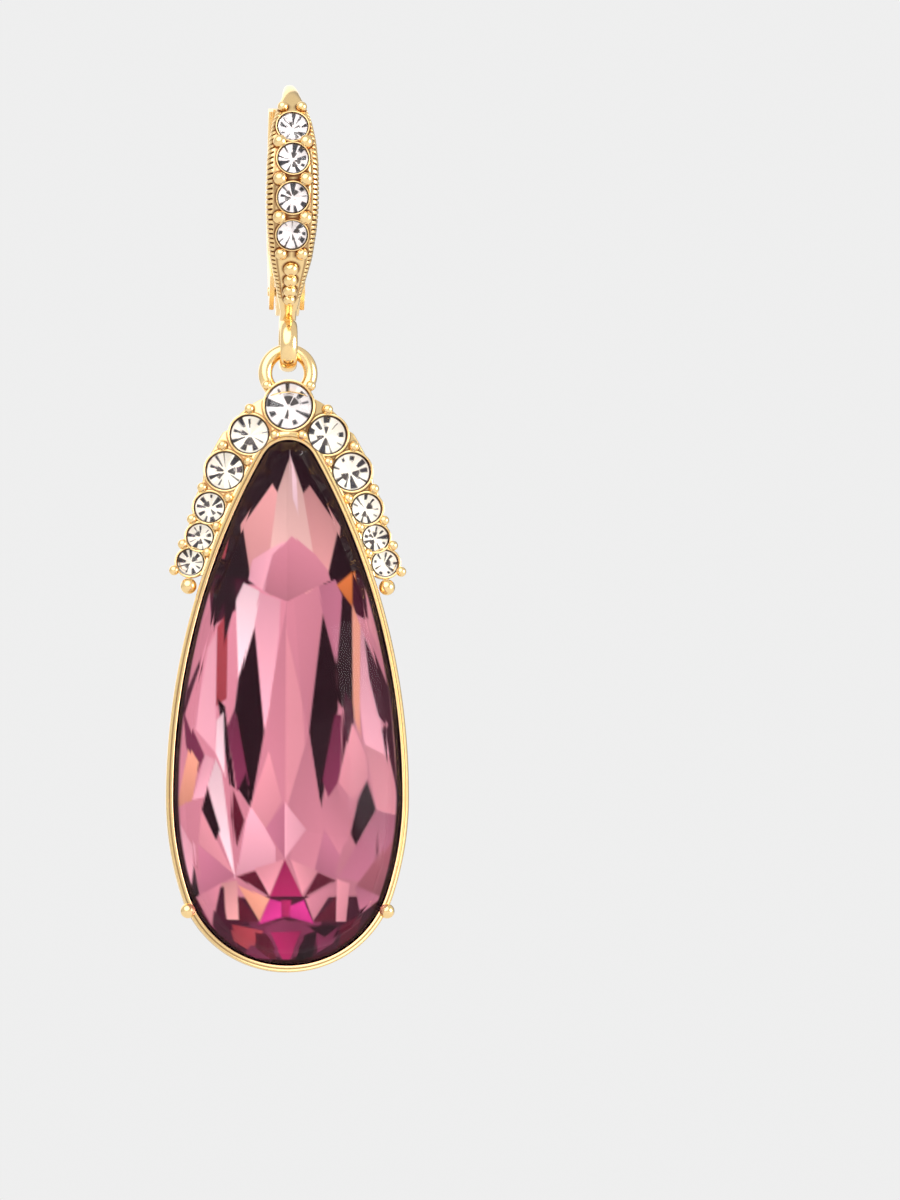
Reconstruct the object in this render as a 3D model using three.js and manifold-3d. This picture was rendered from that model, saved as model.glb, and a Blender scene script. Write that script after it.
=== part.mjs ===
// Drop earring with a lever-back hoop and a faceted teardrop stone.
// Millimetres, +Z up. The origin is the centre of the ear wire at the top of its arch.
// The earring faces -Y. The hoop stands in the YZ plane and the drop hangs in the XZ plane.
import * as THREE from "three";
import { mergeVertices } from "three/addons/utils/BufferGeometryUtils.js";
import Module from "manifold-3d";

const wasm = await Module();
wasm.setup();

// Ear wire and ribbed front strip
const WIRE_DIAMETER = 0.76;
const HOOP_HEIGHT = 14.0;
const HOOP_REACH = 5.6;
const HOOP_BACK = 3.9;
const STRIP_WIDTH = 3.4;
const STRIP_THICKNESS = 1.9;
const RIB_PITCH = 0.5;
const RIB_DEPTH = 0.13;
const WIRE_STEP = 0.62;

// Eye under the hoop and the tang that carries it and the hinge pin
const EYE_DROP = 2.45;
const EYE_HOLE_RADIUS = 0.95;
const EYE_RADIAL = 0.8;
const EYE_WIDTH = 1.12;
const TANG_SIDE_GAP = 0.09;
const PIN_BOSS_RADIUS = 0.62;
const PIN_HOLE_SIDES = 12;

// Lever, its hinge pin and the spring tongue in its channel
const LEVER_BULGE = 3.04;
const LEVER_WIDTH = 2.28;
const LEVER_SHEET = 0.3;
const PIN_RADIUS = 0.3;
const PIN_FORWARD_OF_WIRE_END = 1.07;
const PIN_ABOVE_HOOP_FOOT = 1.4;
const PIN_HEAD_STANDS = 0.08;
const PIN_GAP = 0.06;
const TONGUE_WIDTH = 1.0;
const TONGUE_SHEET = 0.2;

// Corners of the tang and of its narrow neck beside the eye, as shares of the eye's outer radius
// behind and above the eye's centre
const TANG_CORNERS = [
  { back: 1, up: 1.15 },
  { back: 0, up: 0.86 },
];
const NECK_CORNERS = [
  { back: 0.2, up: 1.5 },
  { back: 1, up: 1.3 },
  { back: 1, up: -0.1 },
  { back: 0.59, up: -0.1 },
  { back: -0.5, up: 0.75 },
];

// Round stones on the hoop, and the beads that hold them
const HOOP_STONE_RADIUS = 0.95;
const HOOP_BEAD_RADIUS = 0.44;
const HOOP_BEAD_ACROSS = 0.83;
const HOOP_COLLAR = 0.14;

// Teardrop stone
const STONE_LENGTH = 33.5;
const STONE_HALF_WIDTH = 7.25;
const STONE_WIDEST_DOWN = 22.8;
const STONE_TIP_RADIUS = 1.8;
const STONE_HIP_RADIUS = 19.85;
const CROWN_HEIGHT = 2.85;
const GIRDLE_THICKNESS = 0.25;
const BREAK_INSET = 0.9;
const CROWN_BREAK_HEIGHT = 1.8;
const PAVILION_BREAK_DEPTH = 0.7;

// Setting of the teardrop stone
const STONE_GAP = 0.06;
const WALL_THICKNESS = 0.44;
const RIM_FRONT = 1.35;
const WALL_DEPTH = 1.93;
const BACK_SHEET = 0.45;
const BAND_GROOVE = 0.07;
const SEAM_STANDS = 0.05;
const PRONG_RADIUS = 0.48;
const PRONG_ABOVE_BOTTOM = 3.4;

// Cap above the stone with its round stones, and the bail ring
const TOP_STONE_RADIUS = 1.5;
const TOP_STONE_AWAY = 0.77;
const CAP_DEPTH = 1.0;
const CAP_FRONT = 1.3;
const CAP_TILT = 7;
const TOP_BEAD_TURN = 47;
const LAST_BEAD_TURN = 117;
const CORNER_BEAD_TURN = 176;
const COLLAR_WIDTH = 0.36;
const COLLAR_STANDS = 0.15;
const SEAT_GAP = 0.05;
const BEAD_RADIUS = 0.33;
const BEAD_STANDOFF = 0.42;
const CORNER_BEAD_RADIUS = 0.52;
const BAIL_WIRE_RADIUS = 0.45;
const BAIL_RING_RADIUS = 1.46;
const BAIL_ABOVE_STONE = 0.76;
const BAIL_GAP = 0.12;

// Facets of the teardrop stone. A turn is the angle of the outline where a facet touches it, on both sides.
const LOWER_CROWN = { slope: 63.4, turns: [90, 58, 30, 21, 12, 4, -7, -20, -38, -56, -73, -90] };
const UPPER_CROWN = { slope: 21.5, turns: [72, 34, 22, 8, -4, -28, -52, -78] };
const LOWER_PAVILION = { slope: 37.9, turns: [90, 58, 30, 20, 9, -2, -14, -30, -50, -70, -90] };
const KEEL_PAVILION = { slope: 11.5, turns: [75, 29, 14, 0, -18, -42, -66, -90] };

// Shares that set the cut of the round stones
const ROUND_CUT = { table: 0.52, crown: 0.36, girdle: 0.08, pavilion: 0.55 };

// Sides of the round forms
const BEAD_SIDES = 10;
const BEAD_RINGS = 6;
const SEAT_SIDES = 16;
const LINK_SIDES = 16;
const WIRE_SIDES = 10;
const STRIP_SIDES = 14;

// Centre line of the hoop from the wire's free end to the strip's lower end.
// forward is a share of HOOP_REACH in front of the apex and of HOOP_BACK behind it, down of HOOP_HEIGHT.
// thick and wide go from 0, the wire, to 1, the full strip.
const HOOP_ROWS = [
  { forward: -1.0, down: 0.128, thick: 0, wide: 0 },
  { forward: -0.93, down: 0.093, thick: 0, wide: 0 },
  { forward: -0.77, down: 0.054, thick: 0, wide: 0 },
  { forward: -0.46, down: 0.018, thick: 0, wide: 0 },
  { forward: -0.1, down: 0.001, thick: 0, wide: 0 },
  { forward: 0.07, down: 0.0, thick: 0, wide: 0 },
  { forward: 0.27, down: 0.012, thick: 0.02, wide: 0.03 },
  { forward: 0.43, down: 0.032, thick: 0.05, wide: 0.06 },
  { forward: 0.66, down: 0.08, thick: 0.12, wide: 0.17 },
  { forward: 0.8, down: 0.145, thick: 0.25, wide: 0.45 },
  { forward: 0.893, down: 0.208, thick: 0.43, wide: 0.67 },
  { forward: 0.96, down: 0.294, thick: 0.65, wide: 0.85 },
  { forward: 1.0, down: 0.4, thick: 0.91, wide: 0.97 },
  { forward: 0.975, down: 0.5, thick: 0.96, wide: 1 },
  { forward: 0.914, down: 0.593, thick: 1, wide: 1 },
  { forward: 0.795, down: 0.689, thick: 1, wide: 0.92 },
  { forward: 0.604, down: 0.8, thick: 0.87, wide: 0.75 },
  { forward: 0.429, down: 0.879, thick: 0.65, wide: 0.51 },
  { forward: 0.25, down: 0.943, thick: 0.52, wide: 0.32 },
  { forward: 0.09, down: 1.0, thick: 0.39, wide: 0.17 },
];

// Where things lie along the hoop, as shares of its whole length
const RIBS_ALONG = { from: 0.405, to: 0.955 };
const HOOP_STONES_ALONG = [0.475, 0.562, 0.656, 0.748];
const HOOP_BEAD_PAIRS = [
  { along: 0.414, size: 0.78, across: 0.72 },
  { along: 0.519, size: 1, across: 1 },
  { along: 0.609, size: 1, across: 1 },
  { along: 0.702, size: 1, across: 1 },
  { along: 0.8, size: 0.9, across: 0.8 },
];
const LOWER_BEADS = [
  { along: 0.845, size: 1.1 },
  { along: 0.881, size: 1.02 },
  { along: 0.916, size: 1 },
  { along: 0.95, size: 0.88 },
];

// Outline of the lever's side: back is a share of LEVER_BULGE behind the wire's end, down of HOOP_HEIGHT
const LEVER_BACK_EDGE = [
  { back: 0.1, down: 0.021 },
  { back: 0.53, down: 0.196 },
  { back: 0.98, down: 0.379 },
  { back: 1.0, down: 0.543 },
  { back: 0.86, down: 0.621 },
  { back: 0.18, down: 0.836 },
  { back: -0.2, down: 0.925 },
  { back: -0.59, down: 0.993 },
];
const LEVER_FRONT_EDGE = [
  { back: -1.095, down: 0.85 },
  { back: -0.33, down: 0.757 },
  { back: 0.23, down: 0.671 },
  { back: 0.39, down: 0.571 },
  { back: 0.42, down: 0.293 },
  { back: -0.05, down: 0.093 },
  { back: -0.26, down: 0.05 },
];
const TONGUE_ROWS = [
  { back: -0.42, down: 0.88 },
  { back: 0.02, down: 0.79 },
  { back: 0.48, down: 0.672 },
  { back: 0.68, down: 0.56 },
  { back: 0.66, down: 0.42 },
];

// Round stones on each arm of the cap, from the top down.
// radius is a share of TOP_STONE_RADIUS. away is from the girdle of the teardrop to the stone's edge,
// gap is to the edge of the stone before. outer and inner turn the two beads from straight up.
const CAP_STONES = [
  { radius: 0.813, away: 0.35, gap: 0.39, outer: 0, inner: 92 },
  { radius: 0.8, away: 0.56, gap: 0.39, outer: 5, inner: 69 },
  { radius: 0.63, away: 0.7, gap: 0.42, outer: 20, inner: 63 },
  { radius: 0.553, away: 0.65, gap: 0.2, outer: 25, inner: 58 },
  { radius: 0.553, away: 0.67, gap: 0.08, outer: 23, inner: 61 },
];

const GOLD = { color: 0xe8b96a, roughness: 0.16, metalness: 1 };
const CLEAR = { color: 0xf2efe8, roughness: 0.03, metalness: 0 };
const ROSE = { color: 0xc4627c, roughness: 0.03, metalness: 0 };

const eyeZ = -(HOOP_HEIGHT + EYE_DROP);
const bailZ = eyeZ - (EYE_HOLE_RADIUS - BAIL_GAP - BAIL_WIRE_RADIUS) - BAIL_RING_RADIUS;
const topStoneZ = bailZ - BAIL_ABOVE_STONE - TOP_STONE_RADIUS;
const tipZ = topStoneZ - TOP_STONE_RADIUS - TOP_STONE_AWAY;
const pinZ = -(HOOP_HEIGHT - PIN_ABOVE_HOOP_FOOT);
const pinPlace = new THREE.Vector3(0, HOOP_BACK - PIN_FORWARD_OF_WIRE_END, pinZ);

function facingOut(geometry) {
  const bare = geometry.clone();
  bare.deleteAttribute("normal");
  bare.deleteAttribute("uv");
  const merged = mergeVertices(bare, 1e-4);
  const place = merged.attributes.position;
  const faces = [];
  for (let i = 0; i < merged.index.count; i += 3) {
    const corners = [merged.index.getX(i), merged.index.getX(i + 1), merged.index.getX(i + 2)];
    if (new Set(corners).size === 3) faces.push(...corners);
  }
  const [a, b, c] = [new THREE.Vector3(), new THREE.Vector3(), new THREE.Vector3()];
  let volume = 0;
  for (let i = 0; i < faces.length; i += 3) {
    a.fromBufferAttribute(place, faces[i]);
    b.fromBufferAttribute(place, faces[i + 1]);
    c.fromBufferAttribute(place, faces[i + 2]);
    volume += a.dot(b.cross(c));
  }
  if (volume < 0) faces.reverse();
  merged.setIndex(faces);
  return merged;
}

function toSolid(geometry) {
  const closed = facingOut(geometry);
  const vertProperties = new Float32Array(closed.attributes.position.array);
  const triVerts = new Uint32Array(closed.index.array);
  return new wasm.Manifold(new wasm.Mesh({ numProp: 3, vertProperties, triVerts }));
}

function joined(solids) {
  return solids.reduce((whole, next) => whole.add(next));
}

// Bodies of a solid without the hair-thin voids and edges that are left where round forms meet
const SMALLEST_BODY = 1e-3;
const SHORTEST_EDGE = 0.006;
function bodiesOf(solid) {
  const bodies = solid.decompose().filter((body) => body.volume() > SMALLEST_BODY);
  return wasm.Manifold.compose(bodies).simplify(SHORTEST_EDGE);
}

function toGeometry(solid) {
  const cut = bodiesOf(solid).getMesh();
  const geometry = new THREE.BufferGeometry();
  geometry.setAttribute("position", new THREE.BufferAttribute(cut.vertProperties, 3));
  geometry.setIndex(new THREE.BufferAttribute(cut.triVerts, 1));
  return geometry;
}

function asMesh(name, geometry, finish) {
  geometry.computeVertexNormals();
  const mesh = new THREE.Mesh(geometry, new THREE.MeshStandardMaterial({ ...finish, flatShading: true }));
  mesh.name = name;
  return mesh;
}

// Closed skin over rings of equal count, with a fan on each end
function skin(rings) {
  const count = rings[0].length;
  const points = rings.flat();
  const ends = [rings[0], rings[rings.length - 1]];
  for (const end of ends) {
    const middle = end.reduce((sum, p) => sum.add(p), new THREE.Vector3());
    points.push(middle.divideScalar(count));
  }
  const faces = [];
  for (let r = 0; r + 1 < rings.length; r += 1) {
    for (let i = 0; i < count; i += 1) {
      const [p, q] = [r * count + i, r * count + (i + 1) % count];
      faces.push(p, q, q + count, p, q + count, p + count);
    }
  }
  const last = (rings.length - 1) * count;
  for (let i = 0; i < count; i += 1) {
    const next = (i + 1) % count;
    faces.push(points.length - 2, next, i, points.length - 1, last + i, last + next);
  }
  const geometry = new THREE.BufferGeometry().setFromPoints(points);
  geometry.setIndex(faces);
  return geometry;
}

// Prism with its outline in the YZ plane, centred on x = 0
function sidePrism(outline, width) {
  const shape = new THREE.Shape(outline.map((p) => new THREE.Vector2(p.y, p.z)));
  const geometry = new THREE.ExtrudeGeometry(shape, { depth: width, bevelEnabled: false });
  geometry.translate(0, 0, -width / 2);
  const turn = new THREE.Matrix4().makeBasis(
    new THREE.Vector3(0, 1, 0),
    new THREE.Vector3(0, 0, 1),
    new THREE.Vector3(1, 0, 0),
  );
  return geometry.applyMatrix4(turn);
}

// Prism with its outline in the XZ plane, from y = front back to y = front + depth
function frontPrism(outline, front, depth) {
  const shape = new THREE.Shape(outline.map(([x, z]) => new THREE.Vector2(x, z)));
  const geometry = new THREE.ExtrudeGeometry(shape, { depth, bevelEnabled: false });
  geometry.rotateX(Math.PI / 2);
  return geometry.translate(0, front + depth, 0);
}

function bead(radius, place) {
  const ball = new THREE.SphereGeometry(radius, BEAD_SIDES, BEAD_RINGS);
  ball.rotateX(Math.PI / 2);
  return toSolid(ball.translate(place.x, place.y, place.z));
}

function pinBar(radius, length) {
  const bar = new THREE.CylinderGeometry(radius, radius, length, PIN_HOLE_SIDES);
  bar.rotateZ(Math.PI / 2);
  return bar.translate(pinPlace.x, pinPlace.y, pinPlace.z);
}

// Round stone with its girdle's front edge at the origin and its table towards -Y
function roundStone(radius) {
  const ring = (sides, size, y, turn) => Array.from({ length: sides }, (_, i) => {
    const angle = (2 * Math.PI * (i + turn)) / sides;
    return new THREE.Vector3(size * Math.cos(angle), y, size * Math.sin(angle));
  });
  const table = ring(8, radius * ROUND_CUT.table, -radius * ROUND_CUT.crown, 0);
  const front = ring(16, radius, 0, 0);
  const back = ring(16, radius, radius * ROUND_CUT.girdle, 0);
  const culet = new THREE.Vector3(0, radius * (ROUND_CUT.girdle + ROUND_CUT.pavilion), 0);
  const middle = new THREE.Vector3(0, -radius * ROUND_CUT.crown, 0);
  const faces = [];
  for (let i = 0; i < 8; i += 1) {
    const [here, next] = [table[i], table[(i + 1) % 8]];
    const [before, at, after] = [front[(2 * i + 15) % 16], front[2 * i], front[2 * i + 1]];
    faces.push(middle, here, next, here, before, at, here, at, after, here, after, next);
  }
  for (let i = 0; i < 16; i += 1) {
    const j = (i + 1) % 16;
    faces.push(front[i], back[j], front[j], front[i], back[i], back[j], back[i], culet, back[j]);
  }
  return new THREE.BufferGeometry().setFromPoints(faces);
}

// Room that a round stone needs: open to the front, and a cone behind the girdle
function roundSeat(radius, reach) {
  const size = radius + SEAT_GAP;
  const girdle = radius * ROUND_CUT.girdle + SEAT_GAP;
  const profile = [
    new THREE.Vector2(0, -reach),
    new THREE.Vector2(size, -reach),
    new THREE.Vector2(size, girdle),
    new THREE.Vector2(0, girdle + radius * ROUND_CUT.pavilion + SEAT_GAP),
  ];
  return new THREE.LatheGeometry(profile, SEAT_SIDES);
}

function disc(radius, front, depth) {
  const geometry = new THREE.CylinderGeometry(radius, radius, depth, SEAT_SIDES);
  return geometry.translate(0, front + depth / 2, 0);
}

// The hoop's centre line and the size of its section along it
const hoopLine = new THREE.CatmullRomCurve3(HOOP_ROWS.map(({ forward, down }) => {
  const reach = forward > 0 ? HOOP_REACH : HOOP_BACK;
  return new THREE.Vector3(0, -forward * reach, -down * HOOP_HEIGHT);
}), false, "centripetal");
const hoopSizes = new THREE.CatmullRomCurve3(HOOP_ROWS.map(({ thick, wide }) => (
  new THREE.Vector3(thick, wide, 0)
)), false, "catmullrom", 0.4);

function hoopAt(along) {
  const centre = hoopLine.getPointAt(along);
  const run = hoopLine.getTangentAt(along);
  const out = new THREE.Vector3(0, run.z, -run.y);
  const share = hoopSizes.getPoint(hoopLine.getUtoTmapping(along));
  const thick = WIRE_DIAMETER + (STRIP_THICKNESS - WIRE_DIAMETER) * Math.max(share.x, 0);
  const wide = WIRE_DIAMETER + (STRIP_WIDTH - WIRE_DIAMETER) * Math.max(share.y, 0);
  const square = THREE.MathUtils.clamp(share.y, 0, 1);
  return { centre, run, out, thick, wide, square };
}

// One section of the hoop: round on the wire, squarer on the strip, its sides drawn in where a rib ends
function hoopRing(along, groove) {
  const { centre, out, thick, wide, square } = hoopAt(along);
  const power = 2 / (2 + 1.4 * square);
  return Array.from({ length: STRIP_SIDES }, (_, i) => {
    const angle = (2 * Math.PI * (i + 0.5)) / STRIP_SIDES;
    const [c, s] = [Math.cos(angle), Math.sin(angle)];
    const ribbed = s < 0.5 && Math.abs(c) > 0.3;
    const half = wide / 2 - (ribbed ? groove : 0);
    const x = half * Math.sign(c) * Math.abs(c) ** power;
    const off = (thick / 2) * Math.sign(s) * Math.abs(s) ** power;
    return new THREE.Vector3(x, 0, 0).add(centre).addScaledVector(out, off);
  });
}

function hoopBody() {
  const length = hoopLine.getLength();
  const rings = [];
  const wireSteps = Math.round((RIBS_ALONG.from * length) / WIRE_STEP);
  for (let i = 0; i < wireSteps; i += 1) rings.push(hoopRing((RIBS_ALONG.from * i) / wireSteps, 0));
  const ribSteps = 2 * Math.round(((RIBS_ALONG.to - RIBS_ALONG.from) * length) / RIB_PITCH);
  for (let i = 0; i <= ribSteps; i += 1) {
    const along = THREE.MathUtils.lerp(RIBS_ALONG.from, RIBS_ALONG.to, i / ribSteps);
    rings.push(hoopRing(along, i % 2 === 1 ? RIB_DEPTH : 0));
  }
  rings.push(hoopRing(1, 0));
  return toSolid(skin(rings));
}

// Matrix that seats a piece made at the origin, facing -Y, on the front face of the strip
function onStrip(along, across, sink) {
  const { centre, run, out, thick } = hoopAt(along);
  const place = centre.clone().addScaledVector(out, thick / 2 - sink);
  const basis = new THREE.Matrix4().makeBasis(
    new THREE.Vector3(1, 0, 0),
    out.clone().negate(),
    run.clone().negate(),
  );
  return basis.setPosition(place.x + across, place.y, place.z);
}

const stoneSink = HOOP_STONE_RADIUS * ROUND_CUT.girdle - HOOP_COLLAR;

function hoopBeads() {
  const beads = [];
  for (const { along, size, across } of HOOP_BEAD_PAIRS) {
    for (const side of [-1, 1]) {
      const seat = onStrip(along, side * across * HOOP_BEAD_ACROSS, 0);
      beads.push(bead(size * HOOP_BEAD_RADIUS, new THREE.Vector3().setFromMatrixPosition(seat)));
    }
  }
  for (const { along, size } of LOWER_BEADS) {
    const seat = onStrip(along, 0, 0);
    beads.push(bead(size * HOOP_BEAD_RADIUS, new THREE.Vector3().setFromMatrixPosition(seat)));
  }
  return joined(beads);
}

function leverPoint({ back, down }) {
  return new THREE.Vector3(0, HOOP_BACK + back * LEVER_BULGE, -down * HOOP_HEIGHT);
}

// Tang between the lever's ears, and the narrow neck from it down the back of the eye
function tang() {
  const [start, end] = [hoopAt(RIBS_ALONG.to - 0.02), hoopAt(0.985)];
  const offStrip = (place, share) => place.centre.clone().addScaledVector(place.out, share * place.thick);
  const eyeOuter = EYE_HOLE_RADIUS + EYE_RADIAL;
  const byEye = ({ back, up }) => new THREE.Vector3(0, back * eyeOuter, eyeZ + up * eyeOuter);
  const byPin = (back, up) => pinPlace.clone().add(new THREE.Vector3(0, back, up));
  const wide = [
    offStrip(start, -0.35),
    byPin(0, PIN_BOSS_RADIUS),
    byPin(0.8 * PIN_BOSS_RADIUS, -0.6 * PIN_BOSS_RADIUS),
    ...TANG_CORNERS.map(byEye),
    end.centre,
  ];
  const neck = [offStrip(end, 0.45), ...NECK_CORNERS.map(byEye)];
  const width = LEVER_WIDTH - 2 * LEVER_SHEET - 2 * TANG_SIDE_GAP;
  const boss = toSolid(pinBar(PIN_BOSS_RADIUS, width));
  return joined([toSolid(sidePrism(wide, width)), toSolid(sidePrism(neck, EYE_WIDTH)), boss]);
}

function eyeRing() {
  const profile = Array.from({ length: WIRE_SIDES + 1 }, (_, i) => {
    const angle = (2 * Math.PI * i) / WIRE_SIDES;
    const radius = EYE_HOLE_RADIUS + EYE_RADIAL / 2 + (EYE_RADIAL / 2) * Math.cos(angle);
    return new THREE.Vector2(radius, (EYE_WIDTH / 2) * Math.sin(angle));
  });
  const ring = new THREE.LatheGeometry(profile, LINK_SIDES);
  ring.rotateZ(Math.PI / 2);
  return toSolid(ring.translate(0, 0, eyeZ));
}

function eyeHole() {
  const hole = new THREE.CylinderGeometry(EYE_HOLE_RADIUS, EYE_HOLE_RADIUS, 4 * EYE_WIDTH, LINK_SIDES);
  hole.rotateZ(Math.PI / 2);
  return toSolid(hole.translate(0, 0, eyeZ));
}

function tongue() {
  const line = new THREE.CatmullRomCurve3(TONGUE_ROWS.map(leverPoint));
  const rings = Array.from({ length: 9 }, (_, i) => {
    const [place, run] = [line.getPointAt(i / 8), line.getTangentAt(i / 8)];
    const out = new THREE.Vector3(0, run.z, -run.y);
    return [[-1, -1], [1, -1], [1, 1], [-1, 1]].map(([a, b]) => (
      new THREE.Vector3((a * TONGUE_WIDTH) / 2, 0, 0).add(place).addScaledVector(out, (b * TONGUE_SHEET) / 2)
    ));
  });
  return toSolid(skin(rings));
}

function earHoop() {
  const pinHole = toSolid(pinBar(PIN_RADIUS + PIN_GAP, 2 * LEVER_WIDTH));
  const collars = HOOP_STONES_ALONG.map((along) => {
    const collar = disc(HOOP_STONE_RADIUS + 2 * HOOP_COLLAR, -HOOP_COLLAR / 2, STRIP_THICKNESS / 2);
    return toSolid(collar.applyMatrix4(onStrip(along, 0, 0)));
  });
  const body = joined([hoopBody(), tang(), tongue(), ...collars, hoopBeads()]);
  const seats = HOOP_STONES_ALONG.map((along) => {
    const seat = roundSeat(HOOP_STONE_RADIUS, 3 * HOOP_STONE_RADIUS);
    return toSolid(seat.applyMatrix4(onStrip(along, 0, stoneSink)));
  });
  const open = seats.reduce((whole, seat) => whole.subtract(seat), body.subtract(pinHole));
  return open.subtract(eyeHole()).add(eyeRing());
}

function hoopStones() {
  return HOOP_STONES_ALONG.map((along, i) => {
    const stone = roundStone(HOOP_STONE_RADIUS).applyMatrix4(onStrip(along, 0, stoneSink));
    return asMesh(`hoop_stone_${i + 1}`, facingOut(stone), CLEAR);
  });
}

// Lever: a channel of bent sheet, open towards the ear, whose lower ears straddle the tang
function earLever() {
  const backEdge = LEVER_BACK_EDGE.map(leverPoint);
  const plate = [...backEdge, ...LEVER_FRONT_EDGE.map(leverPoint)];
  const floorRows = LEVER_BACK_EDGE.slice(0, 6).map(leverPoint);
  const floor = floorRows.map((place, i) => {
    const run = floorRows[Math.min(i + 1, 5)].clone().sub(floorRows[Math.max(i - 1, 0)]).normalize();
    return place.clone().add(new THREE.Vector3(0, run.z, -run.y).multiplyScalar(LEVER_SHEET));
  });
  const top = floor[0].clone().add(new THREE.Vector3(0, 0, HOOP_HEIGHT));
  const low = floor[5].clone().add(new THREE.Vector3(0, 0, -HOOP_HEIGHT));
  const far = new THREE.Vector3(0, -HOOP_REACH, 0);
  const inside = [top, ...floor, low, low.clone().add(far), top.clone().add(far)];
  const room = toSolid(sidePrism(inside, LEVER_WIDTH - 2 * LEVER_SHEET));
  const pinHole = toSolid(pinBar(PIN_RADIUS + PIN_GAP, 2 * LEVER_WIDTH));
  return toSolid(sidePrism(plate, LEVER_WIDTH)).subtract(room).subtract(pinHole);
}

// Teardrop outline of four tangent arcs: tip, flank, hip and bottom.
// A point is named by the angle of the outline's outward normal, from 90 at the tip to -90 at the bottom.
const belowWidest = STONE_LENGTH - STONE_WIDEST_DOWN;
const belowTipArc = STONE_WIDEST_DOWN - STONE_TIP_RADIUS;
const flankRadius = (STONE_HALF_WIDTH ** 2 + belowTipArc ** 2 - STONE_TIP_RADIUS ** 2)
  / (2 * (STONE_HALF_WIDTH - STONE_TIP_RADIUS));
const bottomRadius = (STONE_HALF_WIDTH ** 2 + belowWidest ** 2 - 2 * STONE_HIP_RADIUS * STONE_HALF_WIDTH)
  / (2 * (belowWidest - STONE_HIP_RADIUS));
const tipTurn = Math.atan2(belowTipArc, flankRadius - STONE_HALF_WIDTH);
const hipTurn = Math.atan2(belowWidest - bottomRadius, STONE_HIP_RADIUS - STONE_HALF_WIDTH);

const ARCS = {
  tip: { across: 0, down: STONE_TIP_RADIUS, radius: STONE_TIP_RADIUS },
  flank: { across: STONE_HALF_WIDTH - flankRadius, down: STONE_WIDEST_DOWN, radius: flankRadius },
  hip: { across: STONE_HALF_WIDTH - STONE_HIP_RADIUS, down: STONE_WIDEST_DOWN, radius: STONE_HIP_RADIUS },
  bottom: { across: 0, down: STONE_LENGTH - bottomRadius, radius: bottomRadius },
};

function outlinePoint(angle, offset) {
  let arc = ARCS.flank;
  if (angle > tipTurn) arc = ARCS.tip;
  if (angle < 0) arc = ARCS.hip;
  if (angle < -hipTurn) arc = ARCS.bottom;
  const size = arc.radius + offset;
  return [arc.across + size * Math.cos(angle), tipZ - arc.down + size * Math.sin(angle)];
}

const halfOutline = [];
for (const [from, to, steps] of [
  [Math.PI / 2, tipTurn, 5],
  [tipTurn, 0, 8],
  [0, -hipTurn, 4],
  [-hipTurn, -Math.PI / 2, 6],
]) {
  for (let i = 0; i < steps; i += 1) halfOutline.push(THREE.MathUtils.lerp(from, to, i / steps));
}

// Closed teardrop outline at an offset, drawn in towards the middle of the stone by two shares
function outline(offset, across = 1, along = 1) {
  const middle = tipZ - 0.62 * STONE_LENGTH;
  const right = [...halfOutline, -Math.PI / 2].map((angle) => outlinePoint(angle, offset));
  const left = right.slice(1, -1).reverse().map(([x, z]) => [-x, z]);
  return [...right, ...left].map(([x, z]) => [x * across, middle + (z - middle) * along]);
}

function level(points, y) {
  return points.map(([x, z]) => new THREE.Vector3(x, y, z));
}

const girdleFront = -RIM_FRONT + STONE_GAP;
const girdleBack = girdleFront + GIRDLE_THICKNESS;

// Cuts one facet on each side of the stone: a plane through the outline at an inset, at level y.
// facing is -1 for the crown and 1 for the pavilion, and grow moves the plane out of the stone.
function cutFacets(stone, tier, inset, y, facing, grow) {
  const size = 3 * STONE_LENGTH;
  const slope = THREE.MathUtils.degToRad(tier.slope);
  let cut = stone;
  for (const turn of tier.turns) {
    const angle = THREE.MathUtils.degToRad(turn);
    const [x, z] = outlinePoint(angle, -inset);
    const sides = Math.abs(turn) === 90 ? [1] : [-1, 1];
    for (const side of sides) {
      const across = side * Math.cos(angle) * Math.sin(slope);
      const normal = new THREE.Vector3(across, facing * Math.cos(slope), Math.sin(angle) * Math.sin(slope));
      const block = new THREE.BoxGeometry(size, size, size).translate(0, 0, size / 2);
      block.applyQuaternion(new THREE.Quaternion().setFromUnitVectors(new THREE.Vector3(0, 0, 1), normal));
      const place = new THREE.Vector3(side * x, y, z).addScaledVector(normal, grow);
      cut = cut.subtract(toSolid(block.translate(place.x, place.y, place.z)));
    }
  }
  return cut;
}

// Outline prism from y = front with the pavilion cut on its back, grown all round by one amount
function pavilionForm(front, grow) {
  const blank = toSolid(frontPrism(outline(grow), front, girdleBack + STONE_HALF_WIDTH - front));
  const steep = cutFacets(blank, LOWER_PAVILION, 0, girdleBack, 1, grow);
  return cutFacets(steep, KEEL_PAVILION, BREAK_INSET, girdleBack + PAVILION_BREAK_DEPTH, 1, grow);
}

// Teardrop stone: table, upper crown, steep lower crown, girdle, and a pavilion that runs to a keel
function teardropStone() {
  const blank = pavilionForm(girdleFront - CROWN_HEIGHT, 0);
  const steep = cutFacets(blank, LOWER_CROWN, 0, girdleFront, -1, 0);
  const stone = cutFacets(steep, UPPER_CROWN, BREAK_INSET, girdleFront - CROWN_BREAK_HEIGHT, -1, 0);
  return asMesh("teardrop_stone", toGeometry(stone), ROSE);
}

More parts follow.
